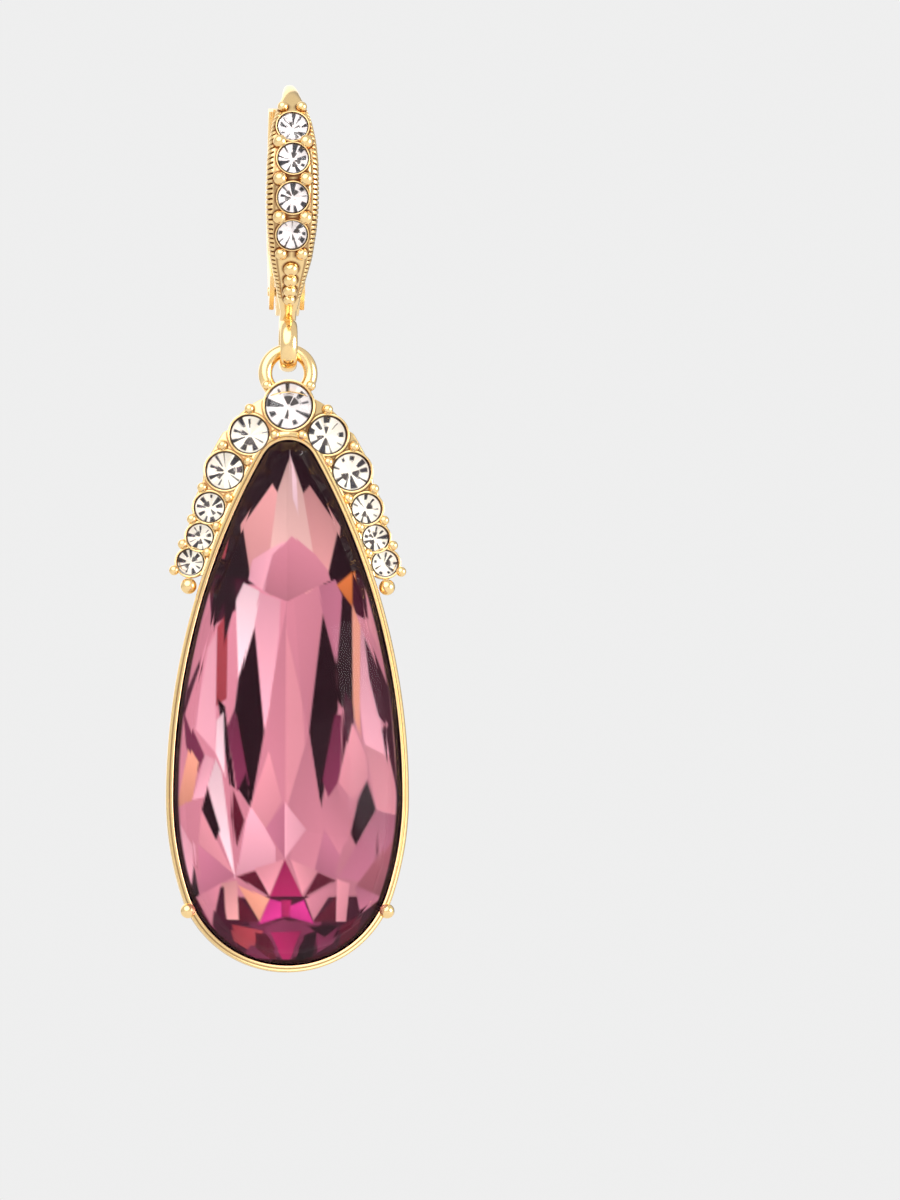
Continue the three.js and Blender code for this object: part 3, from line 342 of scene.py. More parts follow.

# Painted reflections of the facets seen through the stone, laid in this order: tint, then corners as
# (across, down from the tip)
FACET_CHART = (
    ("rose", ((-7.3, 9), (7.3, 9), (7.3, 33.5), (-7.3, 33.5))),
    ("night", ((-3.3, 0), (3.3, 0), (6.2, 9.2), (-6.2, 9.2))),
    ("salmon", ((-0.95, 2.7), (-2.85, 5.4), (-2.3, 8.7), (-1.0, 9.9), (0.2, 4.5))),
    ("salmon", ((1.35, 2.8), (3.2, 5.5), (2.55, 8.4), (1.2, 9.9), (-0.1, 4.5))),
    ("shell", ((0.15, 1.0), (-0.6, 3.2), (-1.2, 8.2), (0.1, 9.0), (1.6, 7.3), (0.9, 3.2))),
    ("petal", ((0.15, 1.0), (0.25, 3.6), (0.6, 4.6), (0.5, 2.4))),
    ("blush", ((-2.45, 8.9), (-2.2, 7.6), (-1.1, 6.9), (0.2, 6.2), (-1.3, 9.7))),
    ("rose", ((0.27, 6.0), (-0.9, 7.25), (-1.5, 9.6), (0.0, 10.2), (2.7, 8.9), (2.5, 8.2), (1.7, 7.2))),
    ("brick", ((-3.65, 6.0), (-4.2, 7.6), (-3.9, 7.6))),
    ("plum", ((-4.9, 8.6), (-2.5, 8.9), (-2.5, 10.3), (-4.9, 12))),
    ("plum", ((2.9, 8.9), (4.9, 8.4), (5.6, 11.8), (3.4, 10.5))),
    ("petal", ((-2.75, 9.1), (-3.26, 10.2), (-3.05, 15.2), (-2.1, 11.9), (-1.7, 9.6))),
    ("blush", ((-1.73, 9.66), (-0.43, 10.1), (-0.5, 12.3), (-1.0, 16.5), (-1.45, 18.65), (-2.1, 11.9))),
    ("rose", ((-0.43, 10.1), (-0.04, 10.2), (-0.05, 23.6), (-0.3, 22.9), (-1.45, 18.6), (-1.0, 16))),
    ("pink", ((-0.04, 10.2), (0.5, 10.6), (0.95, 16.5), (1.42, 18.6), (0.2, 22.9), (-0.05, 23.6))),
    ("rose", ((0.45, 10.1), (1.94, 9.3), (2.28, 11), (1.75, 16.5), (1.45, 18.6), (0.95, 16.5))),
    ("dusty", ((1.94, 9.3), (3.0, 8.85), (3.45, 9.9), (3.13, 14.3), (2.28, 11))),
    ("orange", ((3.1, 9.2), (4.1, 8.35), (4.1, 10.6))),
    ("night", ((3.45, 9.9), (4.1, 10.6), (4.2, 18.2), (3.2, 16.5), (3.13, 14))),
    ("peach", ((4.1, 10.4), (4.6, 11.8), (4.6, 18.8), (4.15, 17.5))),
    ("blush", ((4.66, 11.9), (5.2, 13.2), (6.5, 21.5), (4.9, 19.5), (4.6, 17))),
    ("plum", ((4.86, 12.5), (6.3, 15.8), (6.6, 18.6), (5.8, 17.6), (5.2, 15.2))),
    ("pink", ((4.77, 9.04), (5.4, 10), (6.6, 15.3), (4.95, 11.9))),
    ("night", ((-4.5, 8.9), (-3.8, 8.7), (-3.8, 9.7), (-4.7, 12.2))),
    ("rose", ((-4.9, 9.7), (-4.7, 11.1), (-4.73, 12.3), (-5.75, 14.9), (-6.5, 16.5), (-5.5, 12))),
    ("plum", ((-4.6, 12.3), (-5.4, 14.6), (-5.6, 18.0), (-6.6, 17.5), (-6.3, 16))),
    ("blush", ((-5.2, 13.6), (-4.5, 12.2), (-4.5, 20), (-5.9, 18.4), (-5.5, 16))),
    ("brick", ((-3.75, 10.9), (-3.8, 16.5), (-4.5, 17), (-4.45, 11.9))),
    ("night", ((-4.0, 8.7), (-2.9, 8.8), (-3.26, 10.2), (-3.04, 15.2), (-3.1, 17), (-3.7, 19), (-4.0, 17))),
    ("night", ((-2.1, 11.9), (-1.43, 18.6), (-2.3, 23.5), (-3.3, 17.3), (-3.05, 15.2))),
    ("night", ((2.28, 11), (3.15, 14.3), (3.3, 17), (2.2, 23.5), (1.42, 18.6))),
    ("mauve", ((-3.3, 17.2), (-2.4, 22), (-3.2, 22.4), (-3.8, 18.4))),
    ("night", ((-2.6, 21.2), (-2.3, 23.5), (-3.1, 22.3))),
    ("mauve", ((3.06, 17.5), (3.5, 17.5), (3.47, 21.5), (2.7, 22.9), (2.3, 21.7))),
    ("plum", ((3.6, 16), (4.2, 17), (4.3, 19.5), (3.5, 21.8))),
    ("night", ((-4.4, 16.5), (-3.9, 17), (-3.3, 22.3), (-3.6, 22))),
    ("petal", ((-4.45, 17.9), (-4.0, 17.4), (-3.9, 21.4), (-4.5, 20))),
    ("mauve", ((-6.6, 17.2), (-5.2, 20.2), (-5.7, 21.3), (-6.3, 19.5))),
    ("peach", ((-6.1, 19.8), (-5.6, 20.6), (-6.0, 23), (-7.0, 23.6))),
    ("blush", ((-5.2, 20.1), (-4.6, 20.4), (-5.2, 22.8), (-6.0, 23))),
    ("petal", ((-4.5, 20.4), (-3.9, 21.6), (-3.4, 26.5), (-3.2, 28), (-4.4, 24.8), (-5.0, 22))),
    ("pink", ((-5.4, 23.6), (-4.4, 25.6), (-3.2, 27.8), (-5.6, 25.8))),
    ("night", ((-5.03, 22.2), (-4.2, 24.9), (-4.45, 25.6), (-5.4, 23.6))),
    ("wine", ((-3.45, 22.3), (-2.7, 24.3), (-3.2, 26), (-3.5, 24.0))),
    ("pink", ((-1.45, 18.65), (-0.3, 23.0), (-1.33, 24.8), (-2.6, 24.2), (-2.3, 23.3))),
    ("blush", ((-2.3, 23.4), (-1.33, 24.8), (-0.7, 26), (-0.7, 27.0), (-3.2, 27.8), (-2.6, 24.3))),
    ("rose", ((1.42, 18.7), (2.42, 24.8), (1.8, 27.5), (0.3, 26.8), (0.2, 23.0))),
    ("dusty", ((-0.1, 23.1), (-1.33, 24.8), (-0.1, 26.7))),
    ("blush", ((-0.1, 23.1), (1.25, 24.85), (-0.1, 26.7))),
    ("dusty", ((2.42, 24.9), (3.4, 26.5), (3.1, 28), (1.8, 27.5))),
    ("rose", ((2.2, 23.5), (3.2, 22), (4.0, 25), (3.4, 26.5), (2.42, 24.8))),
    ("pink", ((4.1, 18), (5.0, 20.2), (5.1, 21.5), (4.2, 23), (3.3, 21.8))),
    ("pink", ((4.9, 19.4), (6.4, 20.2), (7.0, 23.8), (5.8, 24.2))),
    ("plum", ((6.0, 18.5), (6.5, 17.8), (6.9, 22.5), (6.3, 20.3))),
    ("night", ((5.06, 21.7), (5.65, 23.6), (4.35, 25.9), (4.0, 25.1), (4.5, 22.9))),
    ("dusty", ((5.65, 23.6), (6.9, 24), (6.6, 28.5), (3.2, 27.9), (4.35, 25.9))),
    ("fig", ((5.9, 26.4), (6.8, 25.2), (6.4, 29.2), (4.6, 29.1), (4.4, 28.2))),
    ("blush", ((-6.95, 24.2), (-5.8, 25.9), (-5.75, 27.1), (-6.1, 28.9), (-6.6, 28.2))),
    ("wine", ((5.75, 25.3), (5.8, 26.3), (5.6, 26.7))),
    ("night", ((-5.73, 27.1), (-5.4, 29), (-5.7, 29.3), (-6.1, 28.9))),
    ("dusty", ((-5.6, 25.9), (-3.2, 27.8), (-4.1, 28.3), (-5.4, 29))),
    ("wine", ((-3.1, 27.85), (-2.0, 27.5), (-0.9, 29.3))),
    ("wine", ((2.0, 27.6), (3.1, 28.1), (1.1, 29.2))),
    ("pink", ((-2.05, 27.35), (-0.1, 26.75), (-1.1, 29.1))),
    ("pink", ((0.3, 26.8), (2.0, 27.5), (1.0, 29))),
    ("magenta", ((-0.1, 26.75), (1.0, 29.1), (0.5, 29.8), (-0.3, 29.9), (-1.1, 29.2))),
    ("plum", ((-7, 30.4), (-5.6, 29.2), (5.9, 29.1), (7, 30.4), (4, 33.5), (-4, 33.5))),
    ("mauve", ((-2.4, 30.7), (2.2, 30.6), (1.6, 32.8), (-1.8, 32.9))),
    ("brick", ((-3.45, 30.9), (-1.5, 31.3), (-2.3, 32.5), (-3.3, 31.9))),
    ("wine", ((-2.0, 31.4), (-0.9, 31.6), (-0.7, 33.1), (-1.9, 32.9))),
    ("night", ((1.0, 31.6), (2.0, 31.2), (1.6, 32.9), (0.5, 33.2))),
    ("mauve", ((1.9, 31.3), (3.3, 30.9), (2.8, 32.0), (1.9, 32.6))),
    ("mauve", ((-6.1, 29.8), (-4.9, 30.2), (-4.5, 31.2), (-5.4, 31.3))),
    ("wine", ((3.4, 31.0), (4.6, 30.3), (4.4, 31.6), (3.2, 32.3))),
    ("fuchsia", ((-1.75, 30.85), (-1.1, 29.3), (-0.3, 29.5), (-0.28, 30.4))),
    ("fuchsia", ((0.1, 29.8), (1.1, 29.4), (1.7, 30.8), (0.2, 30.4))),
    ("magenta", ((-0.35, 29.4), (0.3, 29.4), (0.15, 30.4), (-0.25, 30.4))),
    ("peach", ((-3.05, 28.4), (-1.1, 29.3), (-1.7, 30.7))),
    ("rose", ((1.2, 29.3), (3.1, 28.4), (1.7, 30.6))),
    ("salmon", ((-4.15, 28.3), (-3.1, 28.1), (-3.03, 30.6), (-3.8, 30.6))),
    ("plum", ((-4.6, 28.6), (-3.95, 28.5), (-3.85, 30.6), (-4.6, 30.9))),
    ("rose", ((-5.67, 29.2), (-4.15, 28.3), (-4.7, 31))),
    ("pink", ((3.15, 28), (3.95, 28.3), (3.75, 30.7), (3.1, 30.7))),
    ("dusty", ((4.3, 28.4), (5.0, 28.7), (6.0, 29.2), (4.6, 30))),
    ("wine", ((-3.0, 29.1), (-1.8, 30.7), (-3.0, 30.7))),
    ("wine", ((1.7, 30.7), (3.1, 29.1), (3.1, 30.7))),
    ("mauve", ((-1.4, 31.2), (-0.2, 30.5), (0.9, 31.1), (1.1, 31.8), (0.15, 33.3), (-0.3, 33.2))),
    ("magenta", ((-1.0, 31.4), (0.9, 31.3), (0.15, 33.1), (-0.25, 33.1))),
    ("night", ((1.3, 31), (3.4, 30.9), (2.4, 31.7))),
    ("mauve", ((-2.9, 33), (-2.2, 32), (-0.9, 33.2))),
)


# Plain helpers for points and shells


def smooth(share):
    """Eases a share: 0 below 0, 1 above 1, and 3s^2 - 2s^3 between."""
    share = np.clip(share, 0, 1)
    return share * share * (3 - 2 * share)


def circle(sides):
    """Angles of evenly spaced points round a circle."""
    return np.linspace(0, 2 * np.pi, sides, endpoint=False)


def grid_faces(rows, columns, closed_rows=False):
    """Quads of a grid of points numbered row by row, whose columns close on themselves."""
    row = np.arange(rows if closed_rows else rows - 1)
    row, column = np.meshgrid(row, np.arange(columns), indexing="ij")
    here, below = row * columns, (row + 1) % rows * columns
    beside = (column + 1) % columns
    corners = (here + column, here + beside, below + beside, below + column)
    return np.stack(corners, -1).reshape(-1, 4)


def shell(rings, tips=None, paint=None, closed=False):
    """Closed skin over rings of points (rings x sides x 3).

    The ends are fans round the two tips, or round the middles of the end rings. Where closed is
    true the last ring joins the first one instead. Faces are turned so that the volume is positive."""
    rows, columns = rings.shape[:2]
    points = rings.reshape(-1, 3)
    shade = np.zeros(len(points)) if paint is None else np.broadcast_to(paint, (rows, columns)).reshape(-1)
    quads = grid_faces(rows, columns, closed)
    fans = np.zeros((0, 3), int)
    if not closed:
        ends = np.array([rings[0].mean(0), rings[-1].mean(0)]) if tips is None else np.asarray(tips, float)
        side = np.arange(columns)
        beside = (side + 1) % columns
        first, last = len(points), len(points) + 1
        base = (rows - 1) * columns
        fans = np.concatenate([
            np.stack([np.full(columns, first), beside, side], -1),
            np.stack([np.full(columns, last), base + side, base + beside], -1),
        ])
        points = np.concatenate([points, ends])
        shade = np.concatenate([shade, [shade[:columns].mean(), shade[-columns:].mean()]])
    triangles = np.concatenate([quads[:, [0, 1, 2]], quads[:, [0, 2, 3]], fans])
    a, b, c = (points[triangles[:, i]] for i in range(3))
    if np.einsum("ij,ij->i", a, np.cross(b, c)).sum() < 0:
        quads, fans = quads[:, ::-1], fans[:, ::-1]
    return {"points": points, "faces": (quads, fans), "paint": shade}


def ball(centre, radius, shade=BEAD_SHADE):
    """Sphere: latitude from the front pole to the back one, longitude round the Y axis.

    Its painted shade mask rises towards the back, up to the value shade."""
    latitude = np.linspace(0, np.pi, BALL_ROWS)[1:-1, None]
    longitude = circle(BALL_SIDES)[None, :]
    unit = np.stack([
        np.sin(latitude) * np.cos(longitude),
        -np.cos(latitude) * np.ones_like(longitude),
        np.sin(latitude) * np.sin(longitude),
    ], -1)
    centre = np.asarray(centre, float)
    tips = centre + radius * np.array([(0, -1, 0), (0, 1, 0)])
    return shell(centre + radius * unit, tips, shade * smooth((unit[..., 1] + 0.1) / 0.9))


def lathe(profile, centre, out=(0, -1, 0), sides=72, paint=None):
    """Closed profile of (radius, height) turned round an axis through centre along out."""
    out = np.asarray(out, float)
    across = np.array([1.0, 0, 0])
    if abs(out @ across) > 0.9:
        across = np.array([0, 0, 1.0])
    up = np.cross(out, across)
    turn = circle(sides)
    spoke = np.cos(turn)[:, None] * across + np.sin(turn)[:, None] * up
    profile = np.asarray(profile, float)
    rings = profile[:, 0, None, None] * spoke[None] + profile[:, 1, None, None] * out + np.asarray(centre)
    shade = None if paint is None else np.asarray(paint, float)[:, None]
    return shell(rings, closed=True, paint=shade)


def torus(centre, radius, wire, axis, sides=(96, 32)):
    """Ring of wire: a circle or ellipse of half sizes wire (radial, axial) carried round an axis."""
    angle = circle(sides[1])
    profile = np.stack([radius + wire[0] * np.cos(angle), wire[1] * np.sin(angle)], -1)
    return lathe(profile, centre, axis, sides[0])


def outward(line):
    """Directions square to a line of (y, z): the run at each step, turned a quarter turn."""
    run = np.gradient(line, axis=0)
    run /= np.linalg.norm(run, axis=1)[:, None]
    return np.stack([run[:, 1], -run[:, 0]], -1)


def carried(line, out, across, height):
    """Rings of points along a line of (y, z), each across in X and height along the direction out."""
    rings = np.empty((*np.broadcast_shapes(np.shape(across), np.shape(height), (len(line), 1)), 3))
    rings[..., 0] = across
    rings[..., 1] = line[:, 0, None] + height * out[:, 0, None]
    rings[..., 2] = line[:, 1, None] + height * out[:, 1, None]
    return rings


def rounded(wave, size, corner):
    """One coordinate of a rounded rectangle of that size, from the cosine or sine of its angle."""
    return np.sign(wave) * (size / 2 - corner) + corner * wave


def slab(back, front, thickness, middle, corner=0.06):
    """Plate between two edge lines in the YZ plane: at each step a rounded rectangle joins the edges.

    back and front are rows of (y, z), thickness is across X and middle is the plate's centre in X."""
    angle = circle(PLATE_SIDES)
    run = front - back
    width = np.linalg.norm(run, axis=1)
    run /= width[:, None]
    along = rounded(np.cos(angle), width[:, None], corner)
    across = middle + rounded(np.sin(angle), thickness, corner)
    return shell(carried((back + front) / 2, run, across, along))


def ribbon(line, width, sheet, corner=0.1):
    """Rounded rectangle of width across X and sheet thickness carried along a line of (y, z)."""
    angle = circle(RIBBON_SIDES)
    corner = min(corner, sheet / 2)
    across = rounded(np.cos(angle), width, corner)
    height = rounded(np.sin(angle), sheet, corner)
    return shell(carried(line, outward(line), across, height))


def oval_tube(line, wide, deep):
    """Oval section of half sizes wide, across X, and deep carried along a line of (y, z)."""
    angle = circle(ROD_SIDES)
    across, height = wide[:, None] * np.cos(angle), deep[:, None] * np.sin(angle)
    return shell(carried(line, outward(line), across, height))


def pin_bar(radius, half, bend):
    """Round bar across X: circles whose radius follows a quarter circle at each end."""
    angle = circle(ROD_SIDES)
    turn = np.linspace(0, np.pi / 2, 6)
    x = np.concatenate([-half + bend * (1 - np.cos(turn)), half - bend * (1 - np.cos(turn[::-1]))])
    size = radius - bend + bend * np.concatenate([np.sin(turn), np.sin(turn[::-1])])
    rings = np.empty((len(x), len(angle), 3))
    rings[..., 0] = x[:, None]
    rings[..., 1] = PIN_Y + size[:, None] * np.cos(angle)
    rings[..., 2] = PIN_Z + size[:, None] * np.sin(angle)
    return shell(rings)


def collar(radius, width, stands, centre, out, depth=0.35):
    """Thin raised ring round a stone: flat-sided inside, rounded over the top, with painted shade down its
    sides.
    """
    inner, outer = radius + SEAT_GAP, radius + SEAT_GAP + width
    bend = min(width / 2.2, 0.09)
    # Columns: radius, height, painted shade mask
    section = np.array([
        (inner, -depth, 1),
        (inner, stands - bend, 0.9),
        (inner + 0.3 * bend, stands - 0.3 * bend, 0.1),
        (inner + bend, stands, 0),
        (outer - bend, stands, 0),
        (outer - 0.3 * bend, stands - 0.3 * bend, 0.05),
        (outer, stands - bend, 0.3),
        (outer, -depth, 1),
    ])
    return lathe(section[:, :2], centre, out, paint=section[:, 2])


def spline(rows, count, sharp=0.5):
    """Catmull-Rom curve through rows, evenly stepped along its length, and its place between the rows.

    Each span is a cubic whose end slopes come from the neighbours, spaced by distance to the power sharp."""
    ends = np.vstack([2 * rows[0] - rows[1], rows, 2 * rows[-1] - rows[-2]])
    gaps = np.linalg.norm(np.diff(ends, axis=0), axis=1) ** sharp
    t = np.linspace(0, len(rows) - 1, SPLINE_STEPS)
    span = np.minimum(t.astype(int), len(rows) - 2)
    s = (t - span)[:, None]
    a, b, c, d = (ends[span + i] for i in range(4))
    before, here, after = (gaps[span + i][:, None] for i in range(3))
    first = ((b - a) / before - (c - a) / (before + here) + (c - b) / here) * here
    last = ((c - b) / here - (d - b) / (here + after) + (d - c) / after) * here
    line = ((2 * s ** 3 - 3 * s ** 2 + 1) * b + (s ** 3 - 2 * s ** 2 + s) * first
            + (3 * s ** 2 - 2 * s ** 3) * c + (s ** 3 - s ** 2) * last)
    length = np.concatenate([[0], np.cumsum(np.linalg.norm(np.diff(line, axis=0), axis=1))])
    share = length / length[-1]
    even = np.linspace(0, 1, count)
    curve = np.stack([np.interp(even, share, line[:, i]) for i in range(rows.shape[1])], -1)
    return curve, np.interp(even, share, t)


# Meshes and objects


def joined(parts):
    """Points in metres, faces and paint of several parts as one."""
    faces, start = [], 0
    for part in parts:
        for block in part["faces"]:
            faces += (block + start).tolist()
        start += len(part["points"])
    points = np.concatenate([part["points"] for part in parts]) * MM
    return points.tolist(), faces, np.concatenate([part["paint"] for part in parts])


def new_object(name, mesh, material):
    """Object at the world's origin that shows a mesh in one material."""
    piece = bpy.data.objects.new(name, mesh)
    bpy.context.scene.collection.objects.link(piece)
    mesh.materials.append(material)
    return piece


def new_piece(name, shells, material, body, nodes):
    """Makes one gold piece from shells and hangs it on its body in place of its nodes.

    Each point's painted shade mask is a named attribute."""
    points, faces, paint = joined(shells)
    mesh = bpy.data.meshes.new(name)
    mesh.from_pydata(points, [], faces)
    mask = mesh.attributes.new("painted_shade", "FLOAT", "POINT")
    # Painted shade: the mask, scaled by its gain, darkens the gold in recesses and beside what stands on it
    mask.data.foreach_set("value", np.clip(PAINTED_SHADE_GAIN * paint, 0, 1).astype(np.float32))
    mesh.polygons.foreach_set("use_smooth", np.ones(len(mesh.polygons), bool))
    mesh.set_sharp_from_angle(angle=math.radians(SHARP_ANGLE))
    mesh.update()
    piece = new_object(name, mesh, material)
    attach(piece, body)
    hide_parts(*nodes)


def foil_mesh(name, points, faces, tints):
    """Mesh of a foil with each point's painted colour, holding painted reflections and shade, as a named
    attribute.
    """
    mesh = bpy.data.meshes.new(name)
    mesh.from_pydata(points, [], faces)
    paint = mesh.attributes.new("foil", "FLOAT_COLOR", "POINT")
    rgba = np.concatenate([tints, np.ones((len(tints), 1))], -1)
    paint.data.foreach_set("color", rgba.astype(np.float32).reshape(-1))
    mesh.update()
    return mesh


# The hoop's line and section


def hoop_line():
    """Centre line of the hoop with its outward directions and sizes, evenly spaced along its length.

    The sizes are eased by a moving average with the weights of a cosine bell."""
    forward, down, thick_share, wide_share = HOOP_ROWS.T
    rows = np.stack([-forward * np.where(forward > 0, HOOP_REACH, HOOP_BACK), -down * HOOP_HEIGHT], -1)
    line, t = spline(rows, HOOP_RINGS)
    thick, wide = (np.interp(t, np.arange(len(rows)), share) for share in (thick_share, wide_share))
    bell = np.hanning(2 * EASE_REACH + 1)
    bell /= bell.sum()

    def eased(values):
        """Moving average of values."""
        return np.convolve(np.pad(values, EASE_REACH, "edge"), bell, "valid")

    return {
        "line": line,
        "out": outward(line),
        "thick": eased(WIRE_DIAMETER + (STRIP_THICKNESS - WIRE_DIAMETER) * thick),
        "wide": eased(WIRE_DIAMETER + (STRIP_WIDTH - WIRE_DIAMETER) * wide),
        "square": eased(np.clip(wide, 0, 1)),
        "length": np.linalg.norm(np.diff(line, axis=0), axis=1).sum(),
    }


def on_strip(hoop, along, across=0.0, sink=0.0):
    """Place on the strip's front face, sunk by sink, and the outward direction there."""
    ring = along * (HOOP_RINGS - 1)

    def at(values):
        """Value at that ring."""
        return np.interp(ring, np.arange(HOOP_RINGS), values)

    middle = np.array([at(hoop["line"][:, k]) for k in (0, 1)])
    out = np.array([at(hoop["out"][:, k]) for k in (0, 1)])
    y, z = middle + out * (at(hoop["thick"]) / 2 - sink)
    return np.array([across, y, z]), np.array([0, out[0], out[1]])


def hoop_body(hoop):
    """Hoop surface: superellipse sections along the line, with the pits of the stones.

    A wave of ribs draws in the sides and back, and a bell curve draws a fine line along the front's
    two edges. Both carry painted shade in their grooves, as do the pits and the face near the beads."""
    along = np.linspace(0, 1, HOOP_RINGS)[:, None]
    angle = (circle(HOOP_SIDES) + np.pi / 2)[None, :]
    c, s = np.cos(angle), np.sin(angle)
    power = 2 / (2 + STRIP_SQUARENESS * hoop["square"][:, None])
    phase = (along - RIBS_FROM) * hoop["length"] / RIB_PITCH
    wave = np.clip(np.abs((phase + RIB_SLANT * s) % 1 - 0.5) * 2, 0, 1)
    reach = smooth((along - RIBS_FROM + 0.02) / 0.03) * smooth((RIBS_TO - along) / 0.02)
    ribs = smooth((0.5 - wave) / RIB_GROOVE) * smooth((RIBS_UP_TO - s) / RIBS_EASE) * reach
    border = np.exp(-((s - BORDER_AT) / BORDER_WIDTH) ** 2) * reach
    half = hoop["wide"][:, None] / 2 - RIB_DEPTH * ribs - 0.4 * RIB_DEPTH * border
    deep = hoop["thick"][:, None] / 2 - RIB_DEPTH * ribs - 0.5 * RIB_DEPTH * border
    x = half * np.sign(c) * np.abs(c) ** power
    off = deep * np.sign(s) * np.abs(s) ** power
    rings = carried(hoop["line"], hoop["out"], x, off)
    # Painted shade in the rib grooves and along the border line
    paint = sink_hoop_pits(hoop, rings, np.clip(0.95 * ribs + 0.8 * border, 0, 1))
    return shell(rings, paint=shade_round_beads(hoop, rings, paint))


def sink_hoop_pits(hoop, rings, paint):
    """Sinks a round pit under each stone, whose floor is a cone, and paints shade in it and on the face
    beside it.
    """
    radius = HOOP_STONE_RADIUS + SEAT_GAP
    for stone in HOOP_STONES_ALONG:
        place, out = on_strip(hoop, stone)
        gap = rings - place
        height = gap @ out
        aside = np.linalg.norm(gap - height[..., None] * out, axis=-1)
        floor = -ROUND_PAVILION * HOOP_STONE_RADIUS * (1 - aside / radius) - HOOP_PIT_FLOOR
        inside = (aside < radius) & (height > -0.6 * STRIP_THICKNESS)
        drop = np.where(inside, np.minimum(floor - height, 0), 0)
        rings += drop[..., None] * out
        near = smooth(1 - (aside - radius - 0.1) / 0.17) * (height > -0.4) * (aside > radius)
        paint = np.maximum(paint, np.where(inside, 1, 0.9 * near))
    return paint


def shade_round_beads(hoop, rings, paint):
    """Paints shade on the strip's face close to each bead."""
    for along, size, across in HOOP_BEAD_PAIRS + tuple((along, size, 0) for along, size in LOWER_BEADS):
        for side in (-1, 1):
            place, _ = on_strip(hoop, along, side * across * HOOP_BEAD_ACROSS)
            away = np.linalg.norm(rings - place, axis=-1)
            paint = np.maximum(paint, 0.95 * smooth(1 - (away - size * HOOP_BEAD_RADIUS) / 0.18))
    return paint


def strip_details(hoop):
    """Collars, pairs of beads and single beads on the front of the strip."""
    shells = []
    for stone in HOOP_STONES_ALONG:
        place, out = on_strip(hoop, stone)
        shells.append(collar(HOOP_STONE_RADIUS, HOOP_COLLAR_WIDTH, HOOP_COLLAR_STANDS, place, out))
    for along, size, across in HOOP_BEAD_PAIRS:
        for side in (-1, 1):
            place, _ = on_strip(hoop, along, side * across * HOOP_BEAD_ACROSS, -BEAD_LIFT)
            shells.append(ball(place, size * HOOP_BEAD_RADIUS))
    for along, size in LOWER_BEADS:
        place, _ = on_strip(hoop, along, 0, -BEAD_LIFT)
        shells.append(ball(place, size * HOOP_BEAD_RADIUS))
    return shells


def eye_shells():
    """Eye that the drop hangs from, and the oval neck that runs down from the strip into its front."""
    middle, outer = EYE_HOLE_RADIUS + EYE_RADIAL / 2, EYE_HOLE_RADIUS + EYE_RADIAL
    eye = torus((0, 0, EYE_Z), middle, (EYE_RADIAL / 2, EYE_WIDTH / 2), (1, 0, 0))
    line, _ = spline(np.array([
        NECK_START,
        NECK_BEND,
        (0.25, EYE_Z + 1.12 * outer),
        (0.8 * outer, EYE_Z + 0.72 * outer),
        (0.86 * outer, EYE_Z),
    ]), NECK_RINGS)
    along, wide, deep = NECK_SIZES.T
    even = np.linspace(0, 1, NECK_RINGS)
    return [eye, oval_tube(line, np.interp(even, along, wide), np.interp(even, along, deep))]


def tang_shells(hoop):
    """Tang that carries the hinge pin, the boss round the pin, and the spring tongue."""
    outer = EYE_HOLE_RADIUS + EYE_RADIAL
    ring = int(TANG_FROM * HOOP_RINGS)
    start = hoop["line"][ring] - 0.3 * hoop["out"][ring]
    end = hoop["line"][int(TANG_TO * HOOP_RINGS)]
    upper = [start, ((PIN_Y + start[0]) / 2, PIN_Z + 0.55), (PIN_Y, PIN_Z + PIN_BOSS_RADIUS)]
    lower = [end, (outer - 0.1, EYE_Z + 1.2 * outer), (PIN_Y + 0.2, PIN_Z - PIN_BOSS_RADIUS)]
    edges = [spline(np.array(edge), TANG_RINGS)[0] for edge in (upper, lower)]
    tongue, _ = spline(lever_points(TONGUE_ROWS), TONGUE_RINGS)
    return [
        slab(*edges, TANG_WIDTH, 0),
        pin_bar(PIN_BOSS_RADIUS, TANG_WIDTH / 2, PIN_BOSS_BEND),
        ribbon(tongue, TONGUE_WIDTH, TONGUE_SHEET),
    ]


def lever_points(rows):
    """Places (y, z) of lever rows given as shares behind the wire's end and of the hoop's height."""
    return np.stack([HOOP_BACK + rows[:, 0] * LEVER_BULGE, -rows[:, 1] * HOOP_HEIGHT], -1)


def lever_shells():
    """Lever: two side plates between its back and front edges, and the bent sheet that joins them."""
    edge = lever_points(LEVER_BACK_EDGE)
    back, _ = spline(edge, LEVER_RINGS)
    front, _ = spline(lever_points(LEVER_FRONT_EDGE), LEVER_RINGS)
    inset = 0.02 * (front - back) / np.linalg.norm(front - back, axis=1)[:, None]
    middle = (LEVER_WIDTH - LEVER_SHEET) / 2
    plates = [slab(back + inset, front, LEVER_SHEET, side * middle, 0.07) for side in (-1, 1)]
    sheet, _ = spline(edge, SHEET_RINGS)
    sheet = sheet[sheet[:, 1] > edge[SHEET_ENDS, 1]]
    sheet = sheet + outward(sheet) * LEVER_SHEET / 2
    return plates + [ribbon(sheet, LEVER_WIDTH - 0.01, LEVER_SHEET, 0.14)]


# The teardrop outline


BELOW_WIDEST = STONE_LENGTH - STONE_WIDEST_DOWN
BELOW_TIP_ARC = STONE_WIDEST_DOWN - STONE_TIP_RADIUS
FLANK_RADIUS = ((STONE_HALF_WIDTH ** 2 + BELOW_TIP_ARC ** 2 - STONE_TIP_RADIUS ** 2)
                / (2 * (STONE_HALF_WIDTH - STONE_TIP_RADIUS)))
BOTTOM_RADIUS = ((STONE_HALF_WIDTH ** 2 + BELOW_WIDEST ** 2 - 2 * STONE_HIP_RADIUS * STONE_HALF_WIDTH)
                 / (2 * (BELOW_WIDEST - STONE_HIP_RADIUS)))
TIP_TURN = math.atan2(BELOW_TIP_ARC, FLANK_RADIUS - STONE_HALF_WIDTH)
HIP_TURN = math.atan2(BELOW_WIDEST - BOTTOM_RADIUS, STONE_HIP_RADIUS - STONE_HALF_WIDTH)


